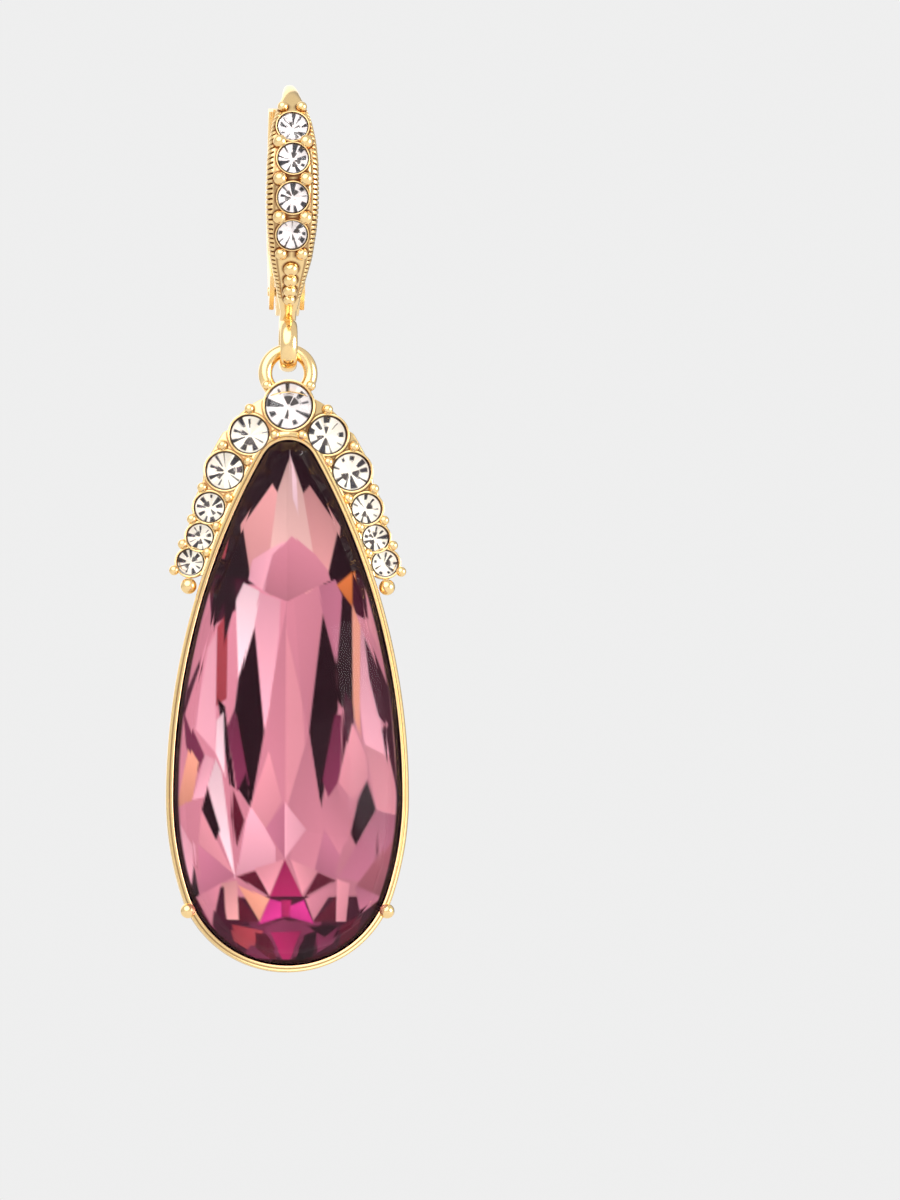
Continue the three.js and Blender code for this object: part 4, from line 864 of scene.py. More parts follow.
def outline_at(angle, offset=0.0):
    """Point (x, z) of the right half outline, grown by offset: each arc serves a range of the
    angle of the outward normal."""
    angle = np.asarray(angle, float)
    pick = [angle > TIP_TURN, angle < -HIP_TURN, angle < 0]
    across = np.select(pick, [0, 0, STONE_HALF_WIDTH - STONE_HIP_RADIUS], STONE_HALF_WIDTH - FLANK_RADIUS)
    middles = [STONE_TIP_RADIUS, STONE_LENGTH - BOTTOM_RADIUS, STONE_WIDEST_DOWN]
    down = np.select(pick, middles, STONE_WIDEST_DOWN)
    radius = np.select(pick, [STONE_TIP_RADIUS, BOTTOM_RADIUS, STONE_HIP_RADIUS], FLANK_RADIUS)
    return across + (radius + offset) * np.cos(angle), TIP_Z - down + (radius + offset) * np.sin(angle)


# Angles of the half outline's points, arc by arc from the tip
HALF_ANGLES = np.concatenate([
    np.linspace(np.pi / 2, TIP_TURN, 26, endpoint=False),
    np.linspace(TIP_TURN, 0, 110, endpoint=False),
    np.linspace(0, -HIP_TURN, 40, endpoint=False),
    np.linspace(-HIP_TURN, -np.pi / 2, 50),
])


def outline_loop(offset, across=1.0, along=1.0):
    """Closed teardrop outline (x, z) at an offset, drawn in towards the middle by two shares."""
    x, z = outline_at(HALF_ANGLES, offset)
    x = np.concatenate([x, -x[1:-1][::-1]])
    z = np.concatenate([z, z[1:-1][::-1]])
    middle = TIP_Z - OUTLINE_MIDDLE * STONE_LENGTH
    return np.stack([x * across, middle + (z - middle) * along], -1)


# The drop's setting


def cap_y(x):
    """Front face of the cap: it leans back from the middle on both sides."""
    return -CAP_FRONT + np.abs(x) * CAP_LEAN


def cap_seats():
    """Seats of the cap's right arm: each off the outline, at its own gap from the seat before."""
    seats = []
    before = {"x": 0.0, "z": TOP_STONE_Z, "radius": TOP_STONE_RADIUS, "angle": np.pi / 2}
    for share, away, gap, outer, inner in CAP_STONES:
        radius = share * TOP_STONE_RADIUS
        angles = np.linspace(0, before["angle"], SEAT_STEPS)
        x, z = outline_at(angles, radius + away)
        apart = np.hypot(x - before["x"], z - before["z"]) - (before["radius"] + radius + gap)
        pick = np.nonzero(apart > 0)[0][-1]
        before = {"x": x[pick], "z": z[pick], "radius": radius, "angle": angles[pick], "away": away,
                  "outer": outer, "inner": inner}
        seats.append(before)
    return seats


SEATS = cap_seats()


def all_seats():
    """Every seat of the cap, the top one first, as rows of x, z, radius."""
    rows = [(0.0, TOP_STONE_Z, TOP_STONE_RADIUS)]
    rows += [(side * seat["x"], seat["z"], seat["radius"]) for side in (-1, 1) for seat in SEATS]
    return rows


def seat_place(x, z):
    """Middle of a cap stone's front rim, and the direction that the stone faces."""
    out = np.array([np.sign(x) * CAP_LEAN, -1, 0])
    return (x, TOP_STONE_FRONT + SEAT_GAP + abs(x) * CAP_LEAN, z), out / np.linalg.norm(out)


def beads_of_cap():
    """Every bead of the cap as rows of x, z, radius."""
    rows = []

    def around(seat, turn, radius, standoff, side):
        """Adds a bead beside a seat, turned from straight up."""
        angle = math.radians(turn)
        reach = seat["radius"] + standoff
        x, z = seat["x"] + reach * math.sin(angle), seat["z"] + reach * math.cos(angle)
        rows.append((side * x, z, radius))

    top = {"x": 0.0, "z": TOP_STONE_Z, "radius": TOP_STONE_RADIUS}
    corner_away = COLLAR_WIDTH + 0.7 * CORNER_BEAD_RADIUS
    for side in (-1, 1):
        around(top, TOP_BEAD_TURN, BEAD_RADIUS, BEAD_STANDOFF, side)
        for seat in SEATS:
            around(seat, seat["outer"], BEAD_RADIUS, BEAD_STANDOFF, side)
            around(seat, -seat["inner"], BEAD_RADIUS, BEAD_STANDOFF, side)
        around(SEATS[-1], LAST_BEAD_TURN, BEAD_RADIUS, BEAD_RADIUS, side)
        around(SEATS[-1], CORNER_BEAD_TURN, CORNER_BEAD_RADIUS, corner_away, side)
    return rows


def clear_seats(rings, seats, gap):
    """Pushes points that lie in a seat out to its edge, as far back as the seats reach."""
    for x, z, radius in seats:
        run = rings[..., [0, 2]] - (x, z)
        away = np.linalg.norm(run, axis=-1)
        room = radius + gap
        push = np.where((away < room) & (rings[..., 1] < SEATS_BEHIND), room - away, 0)
        rings[..., [0, 2]] += run / np.maximum(away, 1e-6)[..., None] * push[..., None]


def cup_shell():
    """Cup round the teardrop stone: inner bowl, rounded rim, banded wall and domed back.

    Each ring is the outline at an offset, or drawn in by shares, at one depth. The bowl slopes evenly
    to the keel of the stone, and the back rises as a quarter ellipse."""
    front, bend = -RIM_FRONT, RIM_BEND
    outer = STONE_GAP + WALL_THICKNESS
    keel = (STONE_HALF_WIDTH - BREAK_INSET) * math.tan(math.radians(KEEL_PAVILION["slope"]))
    bottom = GIRDLE_BACK + PAVILION_BREAK_DEPTH + keel + BACK_SHEET
    loops, depths, paint = [], [], []

    def ring(loop, y, shade=0.0):
        """Adds one ring with its painted shade mask."""
        loops.append(loop)
        depths.append(y)
        paint.append(shade)

    # The bowl behind the stone and the inner rim are painted fully in shade
    floor = GIRDLE_BACK + PAVILION_BREAK_DEPTH + BOWL_CLEAR
    for q in np.linspace(0.97, 0.0, 14):
        ring(outline_loop(-BREAK_INSET, 1 - q, 1 - DOME_TAPER * q), floor + keel * q, 1)
    ring(outline_loop(STONE_GAP), GIRDLE_BACK + BOWL_CLEAR, 1)
    ring(outline_loop(STONE_GAP), front + 2 * bend, 1)
    ring(outline_loop(STONE_GAP), front + bend, 0.7)
    ring(outline_loop(STONE_GAP + 0.3 * bend), front + 0.3 * bend, 0.1)
    ring(outline_loop(STONE_GAP + bend), front)
    for inset, depth, shade in RIM_GROOVE:
        ring(outline_loop(outer - inset), front + depth, shade)
    ring(outline_loop(outer - 0.6 * bend), front + 0.35 * bend)
    ring(outline_loop(outer), front + 1.3 * bend, 0.05)
    # Grooved bands, with painted shade in their grooves
    for share in BANDS_DOWN:
        y = front + share * WALL_DEPTH
        ring(outline_loop(outer), y - 0.1, 0.1)
        ring(outline_loop(outer - 0.02), y - 0.06, 0.4)
        ring(outline_loop(outer - BAND_GROOVE), y, 1)
        ring(outline_loop(outer - 0.02), y + 0.06, 0.4)
        ring(outline_loop(outer), y + 0.1, 0.1)
    back = front + WALL_DEPTH
    ring(outline_loop(outer), back - 1.3 * bend)
    ring(outline_loop(outer - 0.5 * bend), back - 0.3 * bend)
    ring(outline_loop(outer - 1.6 * bend), back)
    for k in np.linspace(1, 0.5, 16):
        rise = (bottom - back) * math.sqrt(max(0, 1 - ((k - 0.5) / 0.5) ** 2))
        ring(outline_loop(0.25 * (k - 0.5), k, 1 - DOME_TAPER * (1 - k)), back + rise)
    for k in (0.3, 0.1):
        ring(outline_loop(0, k, 0.6 * k / 0.5 + 0.1), bottom)
    rings = np.insert(np.array(loops), 1, np.array(depths)[:, None], axis=-1)
    clear_seats(rings, all_seats()[1:], SEAT_GAP)
    return shell(rings, paint=np.array(paint)[:, None])


def cap_angles(flank, tip):
    """Outline angles of the cap's right half, past its last seat up to the tip, by counts of steps."""
    end = SEATS[-1]["angle"] - SEAT_EDGE
    return np.concatenate([
        np.linspace(end, TIP_TURN, flank, endpoint=False),
        np.linspace(TIP_TURN, np.pi / 2, tip),
    ])


def both_sides(right):
    """Rings of the right half up to the middle, joined to their mirror images."""
    return np.concatenate([right[:-1], (right * (-1, 1, 1))[::-1]])


def plate_widths(angles):
    """Width of the cap's plate at each outline angle, with a bell-shaped dip between every two seats."""
    seats = SEATS[::-1]
    centres = [seat["angle"] for seat in seats]
    widths = [
        seats[0]["away"] + 1.5 * seats[0]["radius"],
        *(seat["away"] + 2 * seat["radius"] + 0.12 for seat in seats),
        TOP_STONE_AWAY + 1.6 * TOP_STONE_RADIUS,
    ]
    dips = np.zeros_like(angles)
    for a, b in zip(centres[:-1], centres[1:]):
        dips = np.maximum(dips, np.exp(-((angles - (a + b) / 2) / (SCALLOP_WIDTH * (b - a))) ** 2))
    return np.interp(angles, [angles[0], *centres, np.pi / 2], widths) - SCALLOP_DEPTH * dips


def cap_plate():
    """Plate of the cap that carries the small stones: a strip along the outline over the tip.

    Across the strip the front face runs from the cup's wall to a scalloped outer edge, rounded over,
    and down to a flat back. The front is pitted under each stone, with painted shade in the pits and near
    what stands on it."""
    half = cap_angles(260, 90)
    width = plate_widths(half)
    inner = STONE_GAP + WALL_THICKNESS / 2
    share = np.linspace(0, 1, 44)
    turn = np.linspace(0, np.pi / 2, 6)[1:]
    flat = np.zeros_like(half)
    offs = np.concatenate([
        inner + share[:, None] * (width - inner - PLATE_BEND),
        width - PLATE_BEND + PLATE_BEND * np.sin(turn)[:, None],
        np.stack([width, width - 0.1, flat + inner]),
    ]).T
    down = np.concatenate([
        0 * share[:, None] + flat,
        PLATE_BEND * (1 - np.cos(turn))[:, None] + flat,
        np.stack([flat + CAP_DEPTH - 0.1, flat + CAP_DEPTH, flat + CAP_DEPTH]),
    ]).T
    x, z = outline_at(half[:, None], offs)
    rings = both_sides(np.stack([x, cap_y(x) + down, z], -1))
    front = np.zeros(rings.shape[:2], bool)
    front[:, :len(share)] = True
    # Painted shade on the front only: faint all over, full in the pits, and near the collars and beads
    paint = np.full(front.shape, 0.05)
    for cx, cz, radius in all_seats():
        away = np.hypot(rings[..., 0] - cx, rings[..., 2] - cz)
        room = radius + SEAT_GAP
        pit = PLATE_PIT + (ROUND_PAVILION + ROUND_GIRDLE) * radius * (1 - away / room)
        rings[..., 1] += np.where(front & (away < room), pit, 0)
        near = smooth(1 - (away - room - 0.17) / 0.12)
        paint = np.maximum(paint, np.where(away < room, 1, 0.7 * near))
    for cx, cz, radius in beads_of_cap():
        away = np.hypot(rings[..., 0] - cx, rings[..., 2] - cz)
        paint = np.maximum(paint, 0.75 * smooth(1 - (away - radius) / 0.12))
    return shell(rings, paint=paint * front)


def flange_shell():
    """Narrow raised border along the cup's wall under the cap, kept clear of the seats, with painted shade
    in its section.
    """
    half = cap_angles(220, 70)
    past, behind, mask = BORDER_SECTION.T
    x, z = outline_at(half[:, None], STONE_GAP + WALL_THICKNESS + past)
    rings = both_sides(np.stack([x, cap_y(x) + behind, z], -1))
    clear_seats(rings, all_seats(), SEAT_GAP + 0.02)
    return shell(rings, paint=mask)


def cap_beads():
    """Beads of the cap, each on a short stalk, with painted shade towards the back. The lowest ones get less
    painted shade.
    """
    shells = []
    for x, z, radius in beads_of_cap():
        low = abs(z - SEATS[-1]["z"]) < 2 * SEATS[-1]["radius"]
        shade = LOW_BEAD_SHADE if low else BEAD_SHADE
        shells.append(ball((x, cap_y(x) - CAP_BEAD_LIFT * radius, z), radius, shade))
        stalk = ((0.001, -0.4), (0.8 * radius, -0.4), (0.85 * radius, 0.02), (0.001, 0.05))
        shells.append(lathe(stalk, (x, cap_y(x), z), sides=BALL_SIDES, paint=[shade] * len(stalk)))
    return shells


def lower_prongs():
    """Two round prongs on the lower rim, each on a post in the wall, both with painted shade."""
    shells = []
    offset = STONE_GAP + WALL_THICKNESS
    angle = -math.asin((BOTTOM_RADIUS - PRONG_ABOVE_BOTTOM) / (BOTTOM_RADIUS + offset))
    x, z = outline_at(angle, offset)
    post = np.array(PRONG_POST)
    for side in (-1, 1):
        place = (side * x, -RIM_FRONT - 0.2 * PRONG_RADIUS, z)
        shells.append(ball(place, PRONG_RADIUS, LOW_BEAD_SHADE))
        shells.append(lathe(post[:, :2], (side * x, -RIM_FRONT, z), sides=32, paint=post[:, 2]))
    return shells


def setting_shells():
    """All of the drop's gold: cup, cap plate, border, collars, beads, prongs and bail ring."""
    shells = [cup_shell(), cap_plate(), flange_shell()]
    for x, z, radius in all_seats():
        place, out = seat_place(x, z)
        shells.append(collar(radius, CAP_COLLAR_WIDTH, CAP_COLLAR_STANDS, place, out, CAP_COLLAR_DEPTH))
    bail = torus((0, 0, BAIL_Z), BAIL_RING_RADIUS, (BAIL_WIRE_RADIUS, BAIL_WIRE_RADIUS), (0, -1, 0))
    return shells + cap_beads() + lower_prongs() + [bail]


# Foils behind the stones


def pavilion_y(x, z):
    """Back of the teardrop stone at (x, z): the lowest of its facet planes.

    Each plane passes through the outline at an inset and leans by the tier's slope."""
    lowest = np.full(np.shape(x), np.inf)
    tiers = (
        (LOWER_PAVILION, 0.0, GIRDLE_BACK),
        (KEEL_PAVILION, BREAK_INSET, GIRDLE_BACK + PAVILION_BREAK_DEPTH),
    )
    for tier, inset, y in tiers:
        slope = math.radians(tier["slope"])
        for turn in tier["turns"]:
            angle = math.radians(turn)
            px, pz = outline_at(angle, -inset)
            for side in (-1, 1):
                nx, nz = side * math.cos(angle) * math.sin(slope), math.sin(angle) * math.sin(slope)
                plane = y - (nx * (x - side * px) + nz * (z - pz)) / math.cos(slope)
                lowest = np.minimum(lowest, plane)
    return lowest


def inside_polygon(x, down, corners):
    """Share from 0 to 1 of how far points lie inside a convex polygon, softened over a narrow edge."""
    corners = np.array(corners, float)
    after = np.roll(corners, -1, axis=0)
    area = (corners[:, 0] * after[:, 1] - after[:, 0] * corners[:, 1]).sum()
    farthest = np.full(np.shape(x), -np.inf)
    for a, b in zip(corners, after):
        edge = b - a
        out = np.array([edge[1], -edge[0]]) / np.hypot(*edge) * np.sign(area)
        farthest = np.maximum(farthest, (x - a[0]) * out[0] + (down - a[1]) * out[1])
    return np.clip(0.5 - farthest / FACET_BLEND, 0, 1)


def mixed(colour, tint, weight):
    """Colours with a tint laid over them by a weight for each point."""
    return colour * (1 - weight) + np.asarray(tint) * weight


def painted_facet_reflections(x, down, half):
    """Painted reflections of the facet chart, laid in order over rose, with a dark band of painted shade
    along the edge.

    Each facet's painted tone falls evenly across it in a direction of its own."""
    colour = np.empty(x.shape + (3,))
    colour[:] = TINTS["rose"]
    draw = np.random.default_rng(FOIL_SEED)
    for tint, corners in FACET_CHART:
        weight = inside_polygon(x, down, corners)[..., None]
        turn = draw.uniform(0, 2 * np.pi)
        middle, reach = np.mean(corners, axis=0), np.ptp(corners, axis=0).max()
        slope = (x - middle[0]) * math.cos(turn) + (down - middle[1]) * math.sin(turn)
        tone = 1 + FACET_FADE * np.clip(slope / reach, -FACET_REACH, FACET_REACH)
        colour = mixed(colour, tone[..., None] * np.array(TINTS[tint]), weight)
    # Dark band of painted shade along the edge
    edge = np.minimum((half - np.abs(x)) * 0.93, np.minimum((STONE_LENGTH - down) * 0.9, down * 0.55))
    return mixed(colour, TINTS["night"], smooth((FOIL_EDGE - edge) / 0.12)[..., None])


def teardrop_foil(glass):
    """Mesh of the foil behind the teardrop stone, its painted reflections and shade undoing the tint of the
    glass.

    It is a grid between the outline's sides, laid on the facet planes, with a dark skirt of painted
    shade round the girdle."""
    down = np.linspace(0.06, STONE_LENGTH - 0.06, FOIL_ROWS)
    edge_x, edge_z = outline_at(HALF_ANGLES, -0.02)
    half = np.interp(down, TIP_Z - edge_z, edge_x)[:, None]
    x = half * np.linspace(-1, 1, FOIL_COLUMNS)
    down = np.broadcast_to(down[:, None], x.shape)
    z = TIP_Z - down
    grid = np.stack([x, pavilion_y(x, z) + FOIL_GAP, z], -1).reshape(-1, 3)
    row, column = np.meshgrid(np.arange(FOIL_ROWS - 1), np.arange(FOIL_COLUMNS - 1), indexing="ij")
    first = (row * FOIL_COLUMNS + column).reshape(-1)
    faces = np.stack([first, first + FOIL_COLUMNS, first + FOIL_COLUMNS + 1, first + 1], -1)
    # Skirt: a dark sheet of painted shade round the girdle
    loop = outline_loop(STONE_GAP / 2)
    depths = (GIRDLE_FRONT - 0.03, GIRDLE_BACK + 0.1)
    skirt = np.concatenate([np.insert(loop, 1, depth, axis=1) for depth in depths])
    skirt_faces = grid_faces(len(depths), len(loop)) + len(grid)
    tints = np.concatenate([
        painted_facet_reflections(x, down, half).reshape(-1, 3),
        np.broadcast_to(TINTS["night"], skirt.shape),
    ])
    tints = np.clip(FOIL_SHARE * tints / np.array(glass) ** GLASS_PASSES, 0, 1)
    points = np.concatenate([grid, skirt]) * MM
    return foil_mesh("teardrop_foil", points.tolist(), faces.tolist() + skirt_faces.tolist(), tints)


def round_foil(centre, out, radius, seed, light):
    """Foil cone behind a round stone, with painted reflections as dark wedges round its middle.

    Each wedge is a sector between two radii whose sides run to the centre."""
    draw = np.random.default_rng(seed)
    across = np.array([1.0, 0, 0]) - out[0] * out
    across /= np.linalg.norm(across)
    up = np.cross(out, across)
    turn = circle(CONE_SIDES)[None]
    share = np.linspace(0.0, 1, CONE_RINGS)[1:, None]
    deep = (ROUND_GIRDLE * radius + ROUND_PAVILION * radius * (1 - share)) + FOIL_GAP
    spoke = np.cos(turn)[..., None] * across + np.sin(turn)[..., None] * up
    size = share * (radius + 0.02)
    rings = np.asarray(centre) + size[..., None] * spoke - deep[..., None] * out

    def wedge(middle, width, near, far, soft):
        """Weight of a sector about middle from near to far; soft eases its sides, near and far."""
        bend = np.abs((turn - middle + np.pi) % (2 * np.pi) - np.pi)
        sides = smooth((width - bend) / soft[0])
        return (sides * smooth((share - near) / soft[1]) * smooth((far - share) / soft[2]))[..., None]

    # Painted reflections: sectors of random tone, then dark wedges and sparks, then painted shade at the
    # edge
    tone = 1 - 0.28 * draw.random(16)[(turn / (2 * np.pi) * 16).astype(int)]
    colour = np.broadcast_to(light, rings.shape) * tone[..., None]
    for k in range(WEDGES):
        middle = (k + 0.35 * draw.random()) * 2 * np.pi / WEDGES
        width = draw.uniform(0.06, 0.24)
        near, far = draw.uniform(0.12, 0.58), draw.uniform(0.8, 1.05)
        colour = mixed(colour, WEDGE_TINT, wedge(middle, width, near, far, (0.05, 0.06, 0.05)))
    for _ in range(SPARKS):
        middle, width = draw.uniform(0, 2 * np.pi), draw.uniform(0.2, 0.5)
        colour = mixed(colour, SPARK_TINT, wedge(middle, width, 0.08, 0.5, (0.06, 0.05, 0.06)))
    colour = mixed(colour, CONE_EDGE_TINT, smooth((share - 0.9) / 0.05)[..., None])
    rows, columns = rings.shape[:2]
    tip = np.asarray(centre) - (deep[0, 0] + 0.02) * out
    side = np.arange(columns)
    fan = np.stack([np.full(columns, rows * columns), side, (side + 1) % columns], -1)
    return {
        "points": np.concatenate([rings.reshape(-1, 3), [tip]]),
        "faces": (grid_faces(rows, columns)[:, ::-1], fan),
        "paint": np.concatenate([colour.reshape(-1, 3), [colour[0].mean(0)]]),
    }


def foil_piece(name, cones, material, body):
    """Joins foil cones into one piece and hangs it on its body."""
    points, faces, tints = joined(cones)
    piece = new_object(name, foil_mesh(name, points, faces, ROUND_FOIL_SHARE * tints), material)
    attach(piece, body)


# Materials


def new_node(tree, kind, values=(), **fields):
    """Node of a kind with its fields set, and then its inputs from pairs of name or number and value."""
    node = tree.nodes.new(kind)
    for field, value in fields.items():
        setattr(node, field, value)
    for name, value in values:
        node.inputs[name].default_value = value
    return node


def new_material(name, values):
    """Material whose Principled shader has the given inputs; gives back both."""
    material = bpy.data.materials.new(name)
    material.use_nodes = True
    shader = material.node_tree.nodes["Principled BSDF"]
    for label, value in values:
        shader.inputs[label].default_value = value
    return material, shader


def gold_group():
    """Node group for gold plate: light gold that its painted shade mask turns deep amber in recesses, with a
    faint random drift of tone and faint cast grain.
    """
    name = "Gold Plate With Painted Shade"
    if name in bpy.data.node_groups:
        return bpy.data.node_groups[name]
    group = bpy.data.node_groups.new(name, "ShaderNodeTree")
    for label, kind, value in (
        # Inputs: the open gold's colour, the colour of its painted shade, the painted shade mask, grain
        # scale and smoothness
        ("Light", "NodeSocketColor", (0.9, 0.66, 0.33, 1)),
        ("Shade Colour", "NodeSocketColor", (0.2, 0.06, 0.015, 1)),
        ("Painted Shade", "NodeSocketFloat", 0.0),
        ("Grain Scale", "NodeSocketFloat", 1500.0),
        ("Smoothness", "NodeSocketFloat", 0.14),
    ):
        socket = group.interface.new_socket(label, in_out="INPUT", socket_type=kind)
        socket.default_value = value
    for label, kind in (
        ("Colour", "NodeSocketColor"),
        ("Roughness", "NodeSocketFloat"),
        ("Height", "NodeSocketFloat"),
    ):
        group.interface.new_socket(label, in_out="OUTPUT", socket_type=kind)
    inlet, outlet = new_node(group, "NodeGroupInput"), new_node(group, "NodeGroupOutput")
    place = new_node(group, "ShaderNodeTexCoord")
    grain = new_node(group, "ShaderNodeTexNoise", [("Detail", 4)])
    drift = new_node(group, "ShaderNodeTexNoise", [("Scale", 260)])
    # Painted shade: the shade mask plus a faint random drift of tone, less a floor, mixes the gold towards
    # its shade colour
    mask = new_node(group, "ShaderNodeMath", [(1, 0.22)], operation="MULTIPLY_ADD")
    lower = new_node(group, "ShaderNodeMath", [(1, 0.1)], operation="SUBTRACT", use_clamp=True)
    blend = new_node(group, "ShaderNodeMix", data_type="RGBA")
    rough = new_node(group, "ShaderNodeMath", [(1, 0.12)], operation="MULTIPLY_ADD")
    for source, target in (
        (place.outputs["Object"], grain.inputs["Vector"]),
        (inlet.outputs["Grain Scale"], grain.inputs["Scale"]),
        (place.outputs["Object"], drift.inputs["Vector"]),
        (drift.outputs["Fac"], mask.inputs[0]),
        (inlet.outputs["Painted Shade"], mask.inputs[2]),
        (mask.outputs[0], lower.inputs[0]),
        (lower.outputs[0], blend.inputs["Factor"]),
        (inlet.outputs["Light"], blend.inputs["A"]),
        (inlet.outputs["Shade Colour"], blend.inputs["B"]),
        (blend.outputs["Result"], outlet.inputs["Colour"]),
        (grain.outputs["Fac"], rough.inputs[0]),
        (inlet.outputs["Smoothness"], rough.inputs[2]),
        (rough.outputs[0], outlet.inputs["Roughness"]),
        (grain.outputs["Fac"], outlet.inputs["Height"]),
    ):
        group.links.new(source, target)
    return group


def gold_material(name, s, smoothness, grain):
    """Gold plate from the shared group, fed by the piece's painted shade mask."""
    material, shader = new_material(name, [("Metallic", 1)])
    tree = material.node_tree
    finish = new_node(tree, "ShaderNodeGroup", [
        ("Light", (*s.gold_light, 1)),
        ("Shade Colour", (*s.gold_painted_shade, 1)),
        ("Smoothness", smoothness),
        ("Grain Scale", grain),
    ], node_tree=gold_group())
    mask = new_node(tree, "ShaderNodeAttribute", attribute_name="painted_shade")
    bump = new_node(tree, "ShaderNodeBump", [("Strength", 0.12), ("Distance", 0.00002)])
    for source, target in (
        (mask.outputs["Fac"], finish.inputs["Painted Shade"]),
        (finish.outputs["Colour"], shader.inputs["Base Color"]),
        (finish.outputs["Roughness"], shader.inputs["Roughness"]),
        (finish.outputs["Height"], bump.inputs["Height"]),
        (bump.outputs["Normal"], shader.inputs["Normal"]),
    ):
        tree.links.new(source, target)
    return material


def glass_material(name, tint, ior, gloss):
    """Clear cut glass with a coat whose weight sets its surface gloss."""
    return new_material(name, [
        ("Base Color", (*tint, 1)),
        ("Roughness", 0.0),
        ("IOR", ior),
        ("Coat Weight", gloss),
        ("Transmission Weight", 1),
    ])[0]


def foil_material(name, glow):
    """Satin foil: its colour, which holds painted reflections and shade, comes from the piece's foil
    attribute, with a part of it as painted glow.
    """
    material, shader = new_material(name, [
        ("Roughness", 0.35),
        ("Specular IOR Level", 0.1),
        ("Emission Strength", glow),
    ])
    paint = new_node(material.node_tree, "ShaderNodeAttribute", attribute_name="foil")
    for label in ("Base Color", "Emission Color"):
        material.node_tree.links.new(paint.outputs["Color"], shader.inputs[label])
    return material


def dress_nodes(names, material):
    """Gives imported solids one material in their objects' slots."""
    for name in names:
        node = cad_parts[name]
        if not node.material_slots:
            raise RuntimeError(f"{name} has no material slot")
        for slot in node.material_slots:
            slot.link = "OBJECT"
            slot.material = material


# Studio


def studio_floor(s):
    """Wide round floor, pale with a part of its colour as glow, below the earring."""
    turn = circle(FLOOR_SIDES)
    rim = np.stack([FLOOR_RADIUS * np.cos(turn), FLOOR_RADIUS * np.sin(turn), 0 * turn - s.floor_depth], -1)
    mesh = bpy.data.meshes.new("studio_floor")
    mesh.from_pydata(rim.tolist(), [], [list(range(FLOOR_SIDES))])
    paint, _ = new_material("Studio Floor", [
        ("Base Color", (*(FLOOR_SHADE * part for part in s.backdrop), 1)),
        ("Emission Color", (*s.backdrop, 1)),
        ("Emission Strength", FLOOR_GLOW),
        ("Roughness", 0.9),
    ])
    floor = new_object("studio_floor", mesh, paint)


def studio_world(s):
    """Pale light from all round: full to the camera, and else the room light, less from behind."""
    world = bpy.data.worlds.new("Studio Light")
    world.use_nodes = True
    tree = world.node_tree
    sky = tree.nodes["Background"]
    sky.inputs["Color"].default_value = (*s.backdrop, 1)
    seen = new_node(tree, "ShaderNodeLightPath")
    heading, parts = new_node(tree, "ShaderNodeTexCoord"), new_node(tree, "ShaderNodeSeparateXYZ")
    behind = new_node(tree, "ShaderNodeMapRange", [
        ("From Min", BEHIND_FROM),
        ("From Max", BEHIND_TO),
        ("To Min", s.room_light),
        ("To Max", s.room_light * BEHIND_SHARE),
    ], interpolation_type="SMOOTHSTEP")
    strength = new_node(tree, "ShaderNodeMapRange", [("To Max", 1.0)])
    for source, target in (
        (heading.outputs["Generated"], parts.inputs["Vector"]),
        (parts.outputs["Y"], behind.inputs["Value"]),
        (behind.outputs["Result"], strength.inputs["To Min"]),
        (seen.outputs["Is Camera Ray"], strength.inputs["Value"]),
        (strength.outputs["Result"], sky.inputs["Strength"]),
    ):
        tree.links.new(source, target)
    bpy.context.scene.world = world


def studio_lights():
    """Soft round area lights, all turned to the earring."""
    for name, place, size, power in LIGHTS:
        data = bpy.data.lights.new(name, "AREA")
        data.shape = "DISK"
        data.size = size
        data.energy = power
        lamp = bpy.data.objects.new(name, data)
        lamp.location = place
        lamp.rotation_euler = (LIGHT_AIM - Vector(place)).to_track_quat("-Z", "Y").to_euler()
        bpy.context.scene.collection.objects.link(lamp)


def set_camera(lens):
    """Long-lens camera whose frame holds the drop where the photograph has it."""
    turn, rise = math.radians(VIEW_TURN), math.radians(VIEW_RISE)
    right = Vector((math.cos(turn), math.sin(turn), 0))
    back = Vector((math.sin(turn) * math.cos(rise), -math.cos(turn) * math.cos(rise), math.sin(rise)))
    up = back.cross(right)
    data = bpy.data.cameras.new("studio_camera")
    data.sensor_fit = "VERTICAL"
    data.sensor_height = SENSOR_HEIGHT
    data.lens = lens
    data.clip_start = CLIP_START
    distance = FRAME_HEIGHT / 2 / (SENSOR_HEIGHT / 2 / lens)
    aim = Vector((0, 0, EYE_Z)) + right * EYE_LEFT - up * EYE_ABOVE
    camera = bpy.data.objects.new("studio_camera", data)
    basis = Matrix((right, up, back)).transposed().to_4x4()
    basis.translation = (aim + back * distance) * MM
    camera.matrix_world = basis
    bpy.context.scene.collection.objects.link(camera)
    bpy.context.scene.camera = camera


# Add-on


